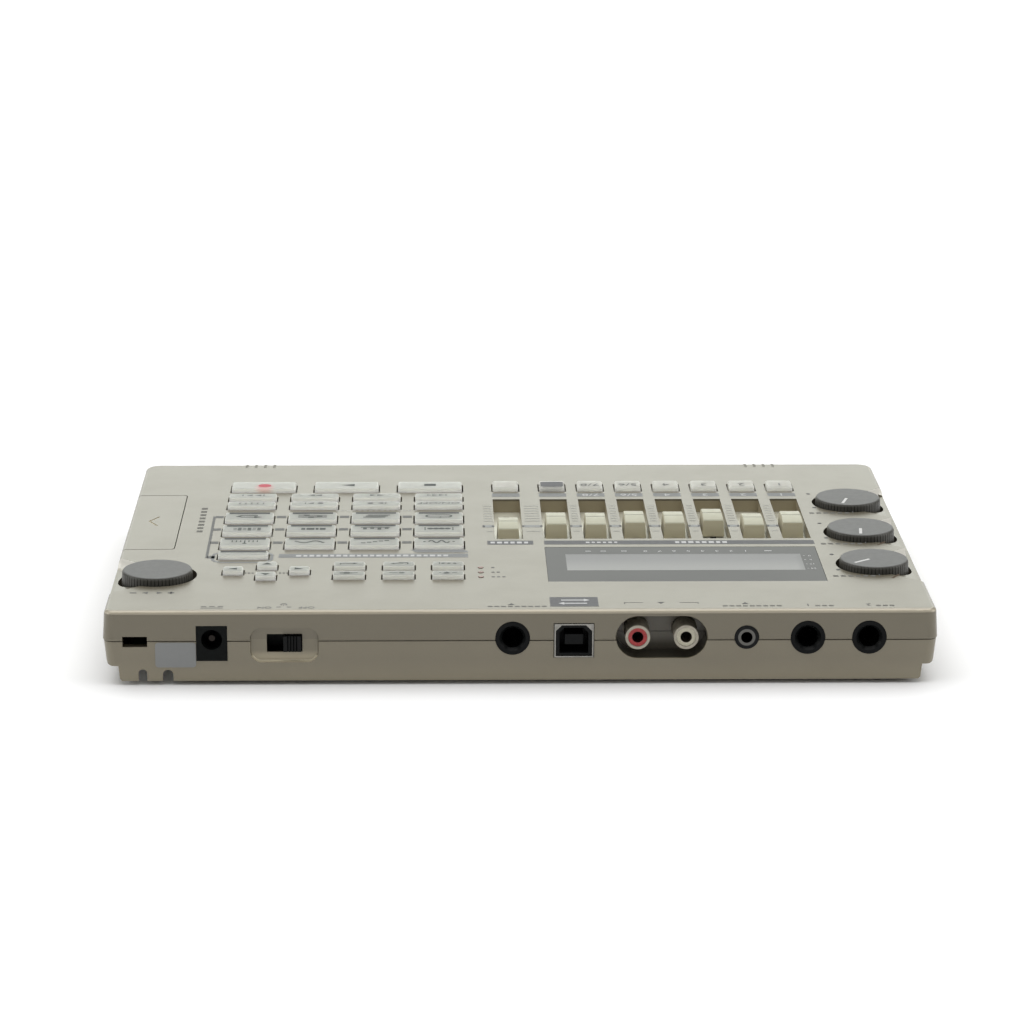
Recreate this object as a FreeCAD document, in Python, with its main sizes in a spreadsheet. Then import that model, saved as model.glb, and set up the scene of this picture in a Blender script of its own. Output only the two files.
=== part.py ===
import FreeCAD, Part
import math
import os
import re
import Sketcher

# Table-top digital multitrack recorder.
# Frame: millimetres, +Z up, +X the user's right, +Y the jack panel at the
# rear, -Y the user's side. Origin at the middle of the underside, on the
# surface that the rubber feet stand on.

V = FreeCAD.Vector
doc = FreeCAD.newDocument("multitrack_recorder")

# ---------------------------------------------------------------- dimensions
DIMS = [
    # overall case
    ("case_width", 259.0, "widest, just above the seam"),
    ("case_depth", 177.0, "front to jack panel"),
    ("foot_height", 1.4, "rubber foot below the plinth"),
    ("step_z", 6.25, "underside of the overhang beside the plinth"),
    ("seam_z", 14.4, "parting line of the two shells"),
    ("top_z", 24.0, "top surface"),
    ("top_wall", 2.0, "top plate"),
    ("side_wall", 2.2, "side walls"),
    ("top_draft", 3.2, "degrees"),
    ("corner_radius", 3.2, "rear corners"), ("corner_front", 5.2, ""),
    ("shoulder_radius", 1.5, "edge between top and sides"),
    ("lip_chamfer", 0.25, "relief at the parting line"),
    ("plinth_half", 124.75, "half width of the plinth at its top"),
    ("plinth_half_low", 124.05, "half width of the plinth at its foot"),
    ("tray_half", 129.3, "half width of the tray at the seam"),
    ("tray_half_low", 128.6, "half width of the tray at its lower edge"),
    ("floor_wall", 2.0, "plinth floor"),
    ("seam_gap", 0.36, "shadow line between the shells"),
    ("seam_deep", 0.9, "how far the shadow line goes in"),
    # keys
    ("key_gap", 0.42, "between a key and its hole, each side"),
    ("key_rise", 1.5, "key top above the top surface"),
    ("key_base_z", 20.95, "underside of a key at rest"),
    ("key_flange_thick", 0.65, ""),
    ("key_flange_over", 0.9, "flange beyond the key"),
    ("key_top_radius", 0.5, ""), ("pad_top_radius", 0.7, ""),
    ("key_corner_radius", 0.8, ""),
    ("key_draft", 1.5, "degrees"),
    ("mat_clear", 0.35, "mat hole beyond the flange"),
    ("transport_wide", 23.1, "hole"), ("transport_deep", 9.6, "hole"),
    ("transport_y", -54.4, ""),
    ("rec_x", 85.85, ""), ("play_x", 57.2, ""), ("stop_x", 28.35, ""),
    ("column_first", 89.0, "function key column"),
    ("column_pitch", 21.23, ""),
    ("function_wide", 17.2, "hole"),
    ("slim_deep", 6.2, "hole of the slim rows"),
    ("tall_deep", 9.9, "hole of the tall rows"),
    ("locate_y", -40.9, "slim row"), ("punch_y", -30.6, "slim row"),
    ("edit_y", -15.1, "tall row"), ("rhythm_y", 0.4, "tall row"),
    ("effect_y", 15.9, "tall row"), ("pad_key_y", 29.2, "single key"),
    ("pad_key_x", 88.85, ""),
    ("cursor_wide", 7.4, "hole"), ("cursor_deep", 6.1, "hole"),
    ("cursor_left_x", 91.2, ""), ("cursor_mid_x", 80.55, ""),
    ("cursor_right_x", 70.0, ""),
    ("cursor_side_y", 46.9, ""), ("cursor_up_y", 41.4, ""),
    ("cursor_down_y", 52.6, ""),
    ("mode_wide", 11.05, "hole"), ("mode_deep", 5.9, "hole"),
    ("mode_first", 54.1, ""), ("mode_pitch", 15.8, ""),
    ("mode_upper_y", 41.8, ""), ("mode_lower_y", 52.1, ""),
    ("track_pad_wide", 9.8, "hole"), ("track_pad_deep", 9.7, "hole"),
    ("track_pad_y", -55.3, ""),
    # tracks and faders
    ("master_x", 2.15, ""), ("track_first", -14.0, ""),
    ("track_pitch", 13.2, ""),
    ("well_wide", 9.3, ""), ("well_front", -40.7, ""), ("well_rear", 8.4, ""),
    ("well_floor_z", 19.35, "top of the well floor"),
    ("well_skin", 1.0, "well wall and floor"),
    ("slot_wide", 2.0, "lever slot"),
    ("cap_long", 14.0, ""), ("cap_wide", 6.6, "at the top"),
    ("cap_wide_low", 7.4, "at the foot"),
    ("cap_low_z", 19.75, ""), ("cap_end_z", 25.65, ""),
    ("cap_crest_z", 26.25, ""),
    ("fader_mid_y", -16.2, "middle of the fader travel"),
    ("lever_wide", 1.2, ""), ("lever_long", 3.6, ""),
    # rotary controls
    ("knob_x", -115.0, ""), ("knob_front_y", -35.5, ""),
    ("knob_mid_y", 1.9, ""), ("knob_rear_y", 38.9, ""),
    ("knob_radius", 11.4, "over the knurl"), ("knob_face_radius", 10.64, ""),
    ("knob_low_z", 19.6, ""), ("knob_top_z", 26.15, ""),
    ("dial_x", 115.1, ""), ("dial_y", 49.5, ""),
    ("dial_radius", 11.5, "over the knurl"), ("dial_face_radius", 10.75, ""),
    ("knob_well_radius", 12.3, ""), ("dial_well_radius", 12.6, ""),
    ("knob_cup_radius", 13.6, ""),
    ("knob_well_z", 19.0, "floor of the knob well"),
    ("spindle_radius", 3.0, ""), ("spindle_fit", 0.04, "running fit"),
    ("rim_drop", 2.3, "lowered rim beside the knobs"),
    # display
    ("lens_left", -98.15, ""), ("lens_right", -9.25, ""),
    ("lens_front", 18.2, ""), ("lens_rear", 57.5, ""),
    ("lens_thick", 0.8, ""),
    # jacks
    ("phone_z", 14.95, "phone jack axis"), ("phone_bush", 5.3, ""),
    ("phone_bore", 3.25, ""),
    ("foot_jack_x", 2.7, ""), ("mic_one_x", -88.9, ""),
    ("mic_two_x", -108.0, ""), ("guitar_jack_x", -108.2, ""),
    ("mini_z", 15.1, ""), ("mini_bush", 3.75, ""), ("mini_bore", 1.8, ""),
    ("line_in_x", -69.9, ""), ("head_jack_x", -76.0, ""),
    ("rca_z", 15.1, ""), ("rca_red_x", -36.08, ""),
    ("rca_white_x", -51.12, ""),
    ("rca_radius", 3.84, "metal barrel"), ("rca_core_radius", 2.96, ""),
    ("rca_bore", 1.74, ""),
    ("rca_pocket_x", -43.5, ""), ("rca_pocket_wide", 28.2, ""),
    ("rca_pocket_high", 13.6, ""), ("rca_pocket_z", 15.1, ""),
    ("rca_pocket_deep", 10.0, ""),
    ("usb_x", -16.3, ""), ("usb_z", 14.2, ""), ("usb_wide", 12.1, ""),
    ("usb_high", 10.8, ""),
    ("dc_x", 95.75, ""), ("dc_low", 7.95, ""), ("dc_high", 11.15, ""),
    ("dc_wide", 9.45, ""), ("dc_bore", 3.25, ""), ("dc_bore_z", 14.75, ""),
    ("dc_pin", 0.95, ""),
    ("switch_x", 73.3, "middle of the opening"), ("switch_z", 13.17, ""),
    ("switch_wide", 11.0, ""), ("switch_high", 5.8, ""),
    ("switch_dish_wide", 21.2, ""), ("switch_dish_high", 11.2, ""),
    ("switch_knob_wide", 5.5, ""), ("switch_knob_high", 5.0, ""),
    # covers
    ("cover_inner_x", 111.7, ""), ("cover_front", -46.7, ""),
    ("cover_rear", 20.0, ""), ("cover_gap", 0.4, "front and rear"),
    ("cover_gap_inner", 0.3, ""), ("cover_round", 1.3, ""),
    ("cover_thick", 1.6, ""),
    ("bay_left", 25.5, "battery bay"), ("bay_right", 72.5, ""),
    ("bay_front", -67.0, ""), ("bay_rear", 46.0, ""),
    ("bay_top", 17.25, ""), ("bay_skin", 1.1, ""),
    ("hatch_thick", 1.3, ""),
    # boards
    ("board_z", 8.0, "underside of the main board"),
    ("board_thick", 1.6, ""),
    ("panel_z", 18.45, "underside of the panel board"),
    ("panel_thick", 1.25, ""),
]
D = {}
sheet = doc.addObject("Spreadsheet::Sheet", "dims")
for row, (alias, value, note) in enumerate(DIMS, start=1):
    sheet.set("A%d" % row, alias)
    sheet.set("B%d" % row, repr(value))
    sheet.set("C%d" % row, note)
    sheet.setAlias("B%d" % row, alias)
    D[alias] = float(value)
doc.recompute()

WORD = re.compile(r"[a-z][a-z_]*[a-z]")


def bind(expression):
    """Turn names of cells into references to the sheet."""
    text = str(expression)
    return WORD.sub(lambda hit: "dims." + hit.group(0)
                    if hit.group(0) in D else hit.group(0), text)


counter = {}


def tag(base):
    counter[base] = counter.get(base, 0) + 1
    return "%s_%d" % (base, counter[base])


def place(obj, x="0", y="0", z="0"):
    for key, val in (("x", x), ("y", y), ("z", z)):
        if str(val) not in ("0", "0.0"):
            obj.setExpression("Placement.Base." + key, bind(val))


def box(name, x0, x1, y0, y1, z0, z1):
    obj = doc.addObject("Part::Box", tag(name))
    obj.setExpression("Length", bind("(%s)-(%s)" % (x1, x0)))
    obj.setExpression("Width", bind("(%s)-(%s)" % (y1, y0)))
    obj.setExpression("Height", bind("(%s)-(%s)" % (z1, z0)))
    place(obj, x0, y0, z0)
    return obj


TURN = {"z": FreeCAD.Rotation(),
        "y": FreeCAD.Rotation(V(1, 0, 0), -90),
        "x": FreeCAD.Rotation(V(0, 1, 0), 90)}


def rod(name, radius, x, y, z, length, axis="z"):
    """Cylinder from (x, y, z) along +axis."""
    obj = doc.addObject("Part::Cylinder", tag(name))
    obj.Placement = FreeCAD.Placement(V(), TURN[axis])
    obj.setExpression("Radius", bind(radius))
    obj.setExpression("Height", bind(length))
    place(obj, x, y, z)
    return obj


def cone(name, r_start, r_end, x, y, z, length, axis="z"):
    obj = doc.addObject("Part::Cone", tag(name))
    obj.Placement = FreeCAD.Placement(V(), TURN[axis])
    obj.setExpression("Radius1", bind(r_start))
    obj.setExpression("Radius2", bind(r_end))
    obj.setExpression("Height", bind(length))
    place(obj, x, y, z)
    return obj


def fuse(name, shapes):
    if len(shapes) == 1:
        return shapes[0]
    obj = doc.addObject("Part::MultiFuse", tag(name))
    obj.Shapes = shapes
    return obj


def cut(name, base, tools):
    obj = doc.addObject("Part::Cut", tag(name))
    obj.Base = base
    obj.Tool = fuse(name + "_tools", tools)
    return obj


def common(name, one, other):
    obj = doc.addObject("Part::Common", tag(name))
    obj.Base = one
    obj.Tool = other
    return obj


def group(name, shapes):
    obj = doc.addObject("Part::Compound", tag(name))
    obj.Links = shapes
    return obj


def free(name, shape):
    """A shape with curved or lofted faces, kept as it is built."""
    obj = doc.addObject("Part::Feature", tag(name))
    obj.Shape = shape
    obj.Placement = FreeCAD.Placement()
    return obj


NODES = []


def node(obj, name):
    obj.Label = name
    NODES.append(obj)
    return obj


def body(name):
    return doc.addObject("PartDesign::Body", name)


def plane(of_body, role):
    return [f for f in of_body.Origin.OriginFeatures if f.Role == role][0]


def sketch(of_body, name, role="XY_Plane", lift=None):
    sk = of_body.newObject("Sketcher::SketchObject", tag(name))
    sk.AttachmentSupport = (plane(of_body, role), [""])
    sk.MapMode = "FlatFace"
    if lift is not None:
        sk.setExpression("AttachmentOffset.Base.z", bind(lift))
    return sk


def rectangle(sk, x0, x1, y0, y1, guess):
    """Fully constrained rectangle; guess is (x0, x1, y0, y1) in numbers."""
    gx0, gx1, gy0, gy1 = guess
    pts = [V(gx0, gy0, 0), V(gx1, gy0, 0), V(gx1, gy1, 0), V(gx0, gy1, 0)]
    first = sk.GeometryCount
    for i in range(4):
        sk.addGeometry(Part.LineSegment(pts[i], pts[(i + 1) % 4]), False)
    for i in range(4):
        sk.addConstraint(Sketcher.Constraint(
            "Coincident", first + i, 2, first + (i + 1) % 4, 1))
    sk.addConstraint(Sketcher.Constraint("Horizontal", first))
    sk.addConstraint(Sketcher.Constraint("Vertical", first + 1))
    sk.addConstraint(Sketcher.Constraint("Horizontal", first + 2))
    sk.addConstraint(Sketcher.Constraint("Vertical", first + 3))
    for kind, geo, point, value, expr in (
            ("DistanceX", first, 1, gx0, x0), ("DistanceY", first, 1, gy0, y0),
            ("DistanceX", first + 1, 2, gx1, x1),
            ("DistanceY", first + 1, 2, gy1, y1)):
        number = sk.addConstraint(Sketcher.Constraint(
            kind, -1, 1, geo, point, value))
        sk.setExpression("Constraints[%d]" % number, bind(expr))


def polygon(sk, points):
    """Closed outline whose corners are bound to the sheet.
    points: (x number, y number, x expression, y expression)"""
    first = sk.GeometryCount
    count = len(points)
    for i in range(count):
        a, b = points[i], points[(i + 1) % count]
        sk.addGeometry(Part.LineSegment(V(a[0], a[1], 0), V(b[0], b[1], 0)),
                       False)
    for i in range(count):
        sk.addConstraint(Sketcher.Constraint(
            "Coincident", first + i, 2, first + (i + 1) % count, 1))
    for i, (px, py, ex, ey) in enumerate(points):
        number = sk.addConstraint(Sketcher.Constraint(
            "DistanceX", -1, 1, first + i, 1, px))
        sk.setExpression("Constraints[%d]" % number, bind(ex))
        number = sk.addConstraint(Sketcher.Constraint(
            "DistanceY", -1, 1, first + i, 1, py))
        sk.setExpression("Constraints[%d]" % number, bind(ey))


def pad(of_body, sk, length, taper=None, reverse=False, midplane=False):
    obj = of_body.newObject("PartDesign::Pad", tag("Pad"))
    obj.Profile = sk
    obj.setExpression("Length", bind(length))
    if taper is not None:
        obj.setExpression("TaperAngle", bind(taper))
    if reverse:
        obj.Reversed = True
    if midplane:
        obj.Midplane = True
    sk.Visibility = False
    return obj


def edges(obj, test):
    return ["Edge%d" % (i + 1) for i, e in enumerate(obj.Shape.Edges)
            if test(e)]


def fillet(of_body, feature, test, radius, kind="Fillet"):
    doc.recompute()
    names = edges(feature, test)
    assert names, "no edges for " + of_body.Name
    obj = of_body.newObject("PartDesign::" + kind, tag(kind))
    obj.Base = (feature, names)
    obj.setExpression("Radius" if kind == "Fillet" else "Size", bind(radius))
    doc.recompute()
    return obj


def upright(e, least=0.8):
    bb = e.BoundBox
    return bb.ZLength > least and bb.XLength < 0.35 * bb.ZLength + 0.01 \
        and bb.YLength < 0.35 * bb.ZLength + 0.01


def level(e, z, tol=0.02):
    bb = e.BoundBox
    return bb.ZLength < tol and abs(bb.ZMin - z) < tol


# ---------------------------------------------------------------- keys
KEYS = {}      # node: list of (x expression, y expression, wide, deep)


def key_piece(name, places, wide, deep, crown="key_top_radius"):
    """Keys of one moulding: caps with rounded edges on a common flange.
    places: list of (x name or expression, y, x number, y number)."""
    bd = body(name)
    w = "(%s)/2-key_gap" % wide
    d = "(%s)/2-key_gap" % deep
    nw = D[wide] / 2 - D["key_gap"]
    nd = D[deep] / 2 - D["key_gap"]
    over = D["key_flange_over"]
    sk = sketch(bd, "flange", lift="key_base_z")
    xs = [p[2] for p in places]
    lo, hi = places[xs.index(min(xs))], places[xs.index(max(xs))]
    rectangle(sk, "(%s)-(%s)-key_flange_over" % (lo[0], w),
              "(%s)+(%s)+key_flange_over" % (hi[0], w),
              "(%s)-(%s)-key_flange_over" % (lo[1], d),
              "(%s)+(%s)+key_flange_over" % (lo[1], d),
              (lo[2] - nw - over, hi[2] + nw + over,
               lo[3] - nd - over, lo[3] + nd + over))
    pad(bd, sk, "key_flange_thick")
    sk = sketch(bd, "caps", lift="key_base_z")
    for px, py, gx, gy in places:
        rectangle(sk, "(%s)-(%s)" % (px, w), "(%s)+(%s)" % (px, w),
                  "(%s)-(%s)" % (py, d), "(%s)+(%s)" % (py, d),
                  (gx - nw, gx + nw, gy - nd, gy + nd))
    cap = pad(bd, sk, "top_z+key_rise-key_base_z", taper="-key_draft")
    top = D["top_z"] + D["key_rise"]
    cap = fillet(bd, cap, lambda e: upright(e) and
                 abs(e.BoundBox.ZMax - top) < 0.02, "key_corner_radius")
    fillet(bd, cap, lambda e: level(e, top), crown)
    KEYS[name] = [(px, py, wide, deep, gx, gy) for px, py, gx, gy in places]
    return node(bd, name)


def at(x, y):
    return (x, y, D[x], D[y])


key_piece("rec_key", [at("rec_x", "transport_y")],
          "transport_wide", "transport_deep")
key_piece("play_key", [at("play_x", "transport_y")],
          "transport_wide", "transport_deep")
key_piece("stop_key", [at("stop_x", "transport_y")],
          "transport_wide", "transport_deep")
for name, y, deep in (("locate_keys", "locate_y", "slim_deep"),
                      ("punch_keys", "punch_y", "slim_deep"),
                      ("edit_keys", "edit_y", "tall_deep"),
                      ("rhythm_keys", "rhythm_y", "tall_deep"),
                      ("effect_keys", "effect_y", "tall_deep")):
    row = [("column_first-column_pitch*%d" % i, y,
            D["column_first"] - D["column_pitch"] * i, D[y])
           for i in range(4)]
    key_piece(name, row, "function_wide", deep)
key_piece("pad_mode_key", [at("pad_key_x", "pad_key_y")],
          "function_wide", "slim_deep")
key_piece("cursor_left_key", [at("cursor_left_x", "cursor_side_y")],
          "cursor_wide", "cursor_deep")
key_piece("cursor_right_key", [at("cursor_right_x", "cursor_side_y")],
          "cursor_wide", "cursor_deep")
key_piece("cursor_up_key", [at("cursor_mid_x", "cursor_up_y")],
          "cursor_wide", "cursor_deep")
key_piece("cursor_down_key", [at("cursor_mid_x", "cursor_down_y")],
          "cursor_wide", "cursor_deep")
for name, y in (("mode_keys_upper", "mode_upper_y"),
                ("mode_keys_lower", "mode_lower_y")):
    row = [("mode_first-mode_pitch*%d" % i, y,
            D["mode_first"] - D["mode_pitch"] * i, D[y]) for i in range(3)]
    key_piece(name, row, "mode_wide", "mode_deep")

STRIPS = [("master", "master_x", D["master_x"])]
for i, name in enumerate(("rhythm", "7_8", "5_6", "4", "3", "2", "1")):
    STRIPS.append((name, "track_first-track_pitch*%d" % i,
                   D["track_first"] - D["track_pitch"] * i))
for name, x, gx in STRIPS:
    key_piece("track_pad_" + name, [(x, "track_pad_y", gx, D["track_pad_y"])],
              "track_pad_wide", "track_pad_deep", "pad_top_radius")

# ---------------------------------------------------------------- shell blanks
# Upper shell: drafted block with rounded corners and shoulders, hollowed.
top_blank = body("top_blank")
sk = sketch(top_blank, "outline", lift="seam_z")
hw, hd = D["case_width"] / 2, D["case_depth"] / 2
rectangle(sk, "-case_width/2", "case_width/2", "-case_depth/2",
          "case_depth/2", (-hw, hw, -hd, hd))
feature = pad(top_blank, sk, "top_z-seam_z", taper="-top_draft")
feature = fillet(top_blank, feature, lambda e: upright(e) and
                 e.BoundBox.Center.y > 0, "corner_radius")
feature = fillet(top_blank, feature, lambda e: upright(e, 7) and
                 e.BoundBox.Center.y < 0, "corner_front")
feature = fillet(top_blank, feature, lambda e: level(e, D["top_z"]),
                 "shoulder_radius")
# A second block that widens upwards gives the relief at the parting line.
lip_blank = body("lip_blank")
sk = sketch(lip_blank, "lip", lift="seam_z")
lw, ld = hw - D["lip_chamfer"], hd - D["lip_chamfer"]
rectangle(sk, "-case_width/2+lip_chamfer", "case_width/2-lip_chamfer",
          "-case_depth/2+lip_chamfer", "case_depth/2-lip_chamfer",
          (-lw, lw, -ld, ld))
feature = pad(lip_blank, sk, "top_z-seam_z+0.5", taper="22")
feature = fillet(lip_blank, feature, lambda e: e.BoundBox.ZLength > 3 and
                 e.BoundBox.Center.y > 0, "corner_radius-lip_chamfer")
feature = fillet(lip_blank, feature, lambda e: e.BoundBox.ZLength > 3 and
                 e.BoundBox.Center.y < 0, "corner_front-lip_chamfer")
case_form = common("case_form", top_blank, lip_blank)

hollow = body("top_hollow")
sk = sketch(hollow, "inside", lift="seam_z-1")
iw, idp = hw - D["side_wall"] - 0.35, hd - D["side_wall"] - 0.35
rectangle(sk, "-case_width/2+side_wall+0.35", "case_width/2-side_wall-0.35",
          "-case_depth/2+side_wall+0.35", "case_depth/2-side_wall-0.35",
          (-iw, iw, -idp, idp))
feature = pad(hollow, sk, "top_z-top_wall-seam_z+1")
feature = fillet(hollow, feature, upright, "corner_radius-side_wall+0.6")

# Lower shell: profile across the case, run front to rear.
tray_blank = body("tray_blank")
sk = sketch(tray_blank, "profile", role="XZ_Plane")
outline = []
for sign in (1, -1):
    part = [
        ("tray_half", "seam_z", D["tray_half"], D["seam_z"]),
        ("tray_half_low", "step_z+1.3", D["tray_half_low"], D["step_z"] + 1.3),
        ("tray_half_low-0.5", "step_z+0.35", D["tray_half_low"] - 0.5,
         D["step_z"] + 0.35),
        ("tray_half_low-1.4", "step_z", D["tray_half_low"] - 1.4, D["step_z"]),
        ("plinth_half", "step_z", D["plinth_half"], D["step_z"]),
        ("plinth_half_low+0.25", "foot_height+0.7",
         D["plinth_half_low"] + 0.25, D["foot_height"] + 0.7),
        ("plinth_half_low-0.4", "foot_height", D["plinth_half_low"] - 0.4,
         D["foot_height"])]
    if sign < 0:
        part = [("-(%s)" % a, b, -c, d) for a, b, c, d in reversed(part)]
    outline += [(c, d, a, b) for a, b, c, d in part]
polygon(sk, outline)
feature = pad(tray_blank, sk, "case_depth-0.9", midplane=True)
for side, size in ((1, "corner_radius"), (-1, "corner_front")):
    feature = fillet(
        tray_blank, feature,
        lambda e: e.BoundBox.ZLength > 5 and e.BoundBox.YLength < 0.01
        and abs(side * e.BoundBox.Center.y - D["case_depth"] / 2) < 1
        and abs(e.BoundBox.Center.x) > 126, size)

tray_hollow = body("tray_hollow")
sk = sketch(tray_hollow, "inner_profile", role="XZ_Plane")
inner = []
for sign in (1, -1):
    part = [
        ("tray_half-side_wall", "seam_z+1", D["tray_half"] - D["side_wall"],
         D["seam_z"] + 1),
        ("tray_half_low-side_wall", "step_z+floor_wall",
         D["tray_half_low"] - D["side_wall"], D["step_z"] + D["floor_wall"]),
        ("plinth_half-side_wall", "step_z+floor_wall",
         D["plinth_half"] - D["side_wall"], D["step_z"] + D["floor_wall"]),
        ("plinth_half_low-side_wall", "foot_height+floor_wall",
         D["plinth_half_low"] - D["side_wall"],
         D["foot_height"] + D["floor_wall"])]
    if sign < 0:
        part = [("-(%s)" % a, b, -c, d) for a, b, c, d in reversed(part)]
    inner += [(c, d, a, b) for a, b, c, d in part]
polygon(sk, inner)
feature = pad(tray_hollow, sk, "case_depth-0.9-2*side_wall-0.2", midplane=True)

REAR = "case_depth/2"
FRONT = "-case_depth/2"

# Mounting bosses: seven screws come up from below.
BOSSES = [(119.5, 64.5), (-120.5, 72.5), (-121.3, -77.0), (120.0, -77.0),
          (8.0, -77.0), (-56.0, -77.0), (40.0, 76.5)]


def bosses(name, radius, z, length):
    return [rod(name, radius, str(x), str(y), z, length) for x, y in BOSSES]


# ------------------------------------------------- pockets shared by the shells
def stadium(name, x, z, wide, high, y0, depth):
    """Round-ended block along -Y from the plane y0."""
    r = "((%s)/2)" % high
    left = rod(name, r, "(%s)-(%s)/2+%s" % (x, wide, r), "(%s)-(%s)"
               % (y0, depth), z, depth, "y")
    right = rod(name, r, "(%s)+(%s)/2-%s" % (x, wide, r), "(%s)-(%s)"
                % (y0, depth), z, depth, "y")
    mid = box(name, "(%s)-(%s)/2+%s" % (x, wide, r),
              "(%s)+(%s)/2-%s" % (x, wide, r), "(%s)-(%s)" % (y0, depth), y0,
              "(%s)-%s" % (z, r), "(%s)+%s" % (z, r))
    return fuse(name, [left, right, mid])


def rounded_prism(x, z, wide, high, radius, y):
    """Wire of a rounded rectangle in the plane y."""
    a, b, r = wide / 2, high / 2, radius
    k = math.sqrt(0.5) * r
    pts = []

    def arc(cx, cz, sx, sz):
        p = [V(x + cx + sx * r, y, z + cz), V(x + cx + sx * k, y, z + cz +
                                              sz * k),
             V(x + cx, y, z + cz + sz * r)]
        return p if sx * sz > 0 else p[::-1]
    quads = [arc(a - r, b - r, 1, 1), arc(-a + r, b - r, -1, 1),
             arc(-a + r, -b + r, -1, -1), arc(a - r, -b + r, 1, -1)]
    made = []
    for i, q in enumerate(quads):
        made.append(Part.Arc(*q).toShape())
        nxt = quads[(i + 1) % 4]
        if (q[2] - nxt[0]).Length > 1e-6:
            made.append(Part.LineSegment(q[2], nxt[0]).toShape())
    return Part.Wire(made)


def dish(x, z, wide, high, radius, inner_wide, inner_high, inner_radius,
         depth, beyond=0.5):
    """Flat recess in the rear face: a steep flank that turns with a small
    hollow into the floor round the opening."""
    face = D["case_depth"] / 2
    steps = [(beyond, 0.0), (0.0, 0.0), (-0.66 * depth, 0.02),
             (-0.86 * depth, 0.07), (-0.96 * depth, 0.15), (-depth, 0.27)]
    wires = []
    for dy, t in steps:
        grow = 1 + (0.02 if dy > 0 else 0)
        wires.append(rounded_prism(
            x, z, (wide + (inner_wide - wide) * t) * grow,
            (high + (inner_high - high) * t) * grow,
            radius + (inner_radius - radius) * t, face + dy))
    return Part.makeLoft(wires, True, True)


switch_dish = free("switch_dish", dish(
    D["switch_x"], D["switch_z"] - 0.2, D["switch_dish_wide"],
    D["switch_dish_high"], 3.6, D["switch_wide"] + 2.6,
    D["switch_high"] + 2.2, 1.0, 1.9))

# soft edge round the phono recess
rca_edge = free("rca_edge", Part.makeLoft([
    rounded_prism(D["rca_pocket_x"], D["rca_pocket_z"],
                  D["rca_pocket_wide"] + 2 * g, D["rca_pocket_high"] + 2 * g,
                  D["rca_pocket_high"] / 2 + g - 0.002,
                  D["case_depth"] / 2 + dy)
    for g, dy in ((0.95, 0.5), (0.45, 0.0), (0.2, -0.2), (0.0, -0.6))],
    True, True))


def rear_tools(part):
    """Openings of the jack panel, used by both shells."""
    tools = []
    for x in ("foot_jack_x", "mic_one_x", "mic_two_x"):
        tools.append(rod(part + "_phone_hole", "phone_bush+0.12", x,
                         "case_depth/2-side_wall-1.5", "phone_z", "6", "y"))
    tools.append(rod(part + "_mini_hole", "mini_bush+0.12", "line_in_x",
                     "case_depth/2-side_wall-1.5", "mini_z", "6", "y"))
    tools.append(rod(part + "_guitar_hole", "phone_bush+0.12",
                     "guitar_jack_x", "-case_depth/2-2", "phone_z", "6", "y"))
    tools.append(rod(part + "_head_hole", "mini_bush+0.12", "head_jack_x",
                     "-case_depth/2-2", "mini_z", "6", "y"))
    tools.append(box(part + "_usb_hole", "usb_x-usb_wide/2-0.25",
                     "usb_x+usb_wide/2+0.25", "case_depth/2-5",
                     "case_depth/2+2", "usb_z-usb_high/2-0.2",
                     "usb_z+usb_high/2+0.2"))
    tools.append(box(part + "_dc_hole", "dc_x-dc_wide/2-0.12",
                     "dc_x+dc_wide/2+0.12", "case_depth/2-5",
                     "case_depth/2+2", "dc_low-0.12", "dc_low+dc_high+0.12"))
    tools.append(box(part + "_switch_hole", "switch_x-switch_wide/2",
                     "switch_x+switch_wide/2", "case_depth/2-6",
                     "case_depth/2+2", "switch_z-switch_high/2",
                     "switch_z+switch_high/2"))
    tools.append(box(part + "_lock_slot", "115.65", "123.3",
                     "case_depth/2-4.5", "case_depth/2+2", "12.4", "15.85"))
    tools += [switch_dish, rca_edge]
    tools.append(stadium(part + "_rca_pocket", "rca_pocket_x", "rca_pocket_z",
                         "rca_pocket_wide", "rca_pocket_high",
                         "case_depth/2+1", "rca_pocket_deep+1"))
    for x in ("rca_red_x", "rca_white_x"):
        tools.append(rod(part + "_rca_hole", "rca_radius+0.3", x,
                         "case_depth/2-rca_pocket_deep-3", "rca_z", "6", "y"))
    return tools


def rear_blocks(part, z0, z1):
    """Walls around the deep openings, kept to one shell's height."""
    pocket = stadium(part + "_rca_wall", "rca_pocket_x", "rca_pocket_z",
                     "rca_pocket_wide+3", "rca_pocket_high+3",
                     "case_depth/2-1", "rca_pocket_deep+0.6")
    lock = box(part + "_lock_wall", "113.9", "124.6", "case_depth/2-3.6",
               "case_depth/2-1", "11.2", "17.4")
    keep = box(part + "_rear_keep", "-122", "124.7", "case_depth/2-16",
               "case_depth/2-1", z0, z1)
    return common(part + "_rear_blocks", fuse(part + "_rear_walls",
                                              [pocket, lock]), keep)


# ---------------------------------------------------------------- upper shell
shell = cut("top_shell", case_form, [hollow])
add = [rear_blocks("top", "seam_z", "22.5")]
for name, x, gx in STRIPS:
    add.append(box("well_wall", "%s-well_wide/2-well_skin" % x,
                   "%s+well_wide/2+well_skin" % x, "well_front-well_skin",
                   "well_rear+well_skin", "well_floor_z-well_skin",
                   "top_z-1"))
for x, y in (("knob_x", "knob_front_y"), ("knob_x", "knob_mid_y"),
             ("knob_x", "knob_rear_y"), ("dial_x", "dial_y")):
    add.append(rod("knob_cup", "knob_cup_radius", x, y, "knob_well_z-1.2",
                   "top_z-1-knob_well_z+1.2"))
# stiffening ribs under the lowered rims
add.append(box("rim_rib", "-127.9", "-125.2", "-58", "61.5", "19.2",
               "top_z-1"))
add.append(box("rim_rib", "125.2", "127.9", "27.5", "71.5", "19.2",
               "top_z-1"))
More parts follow.
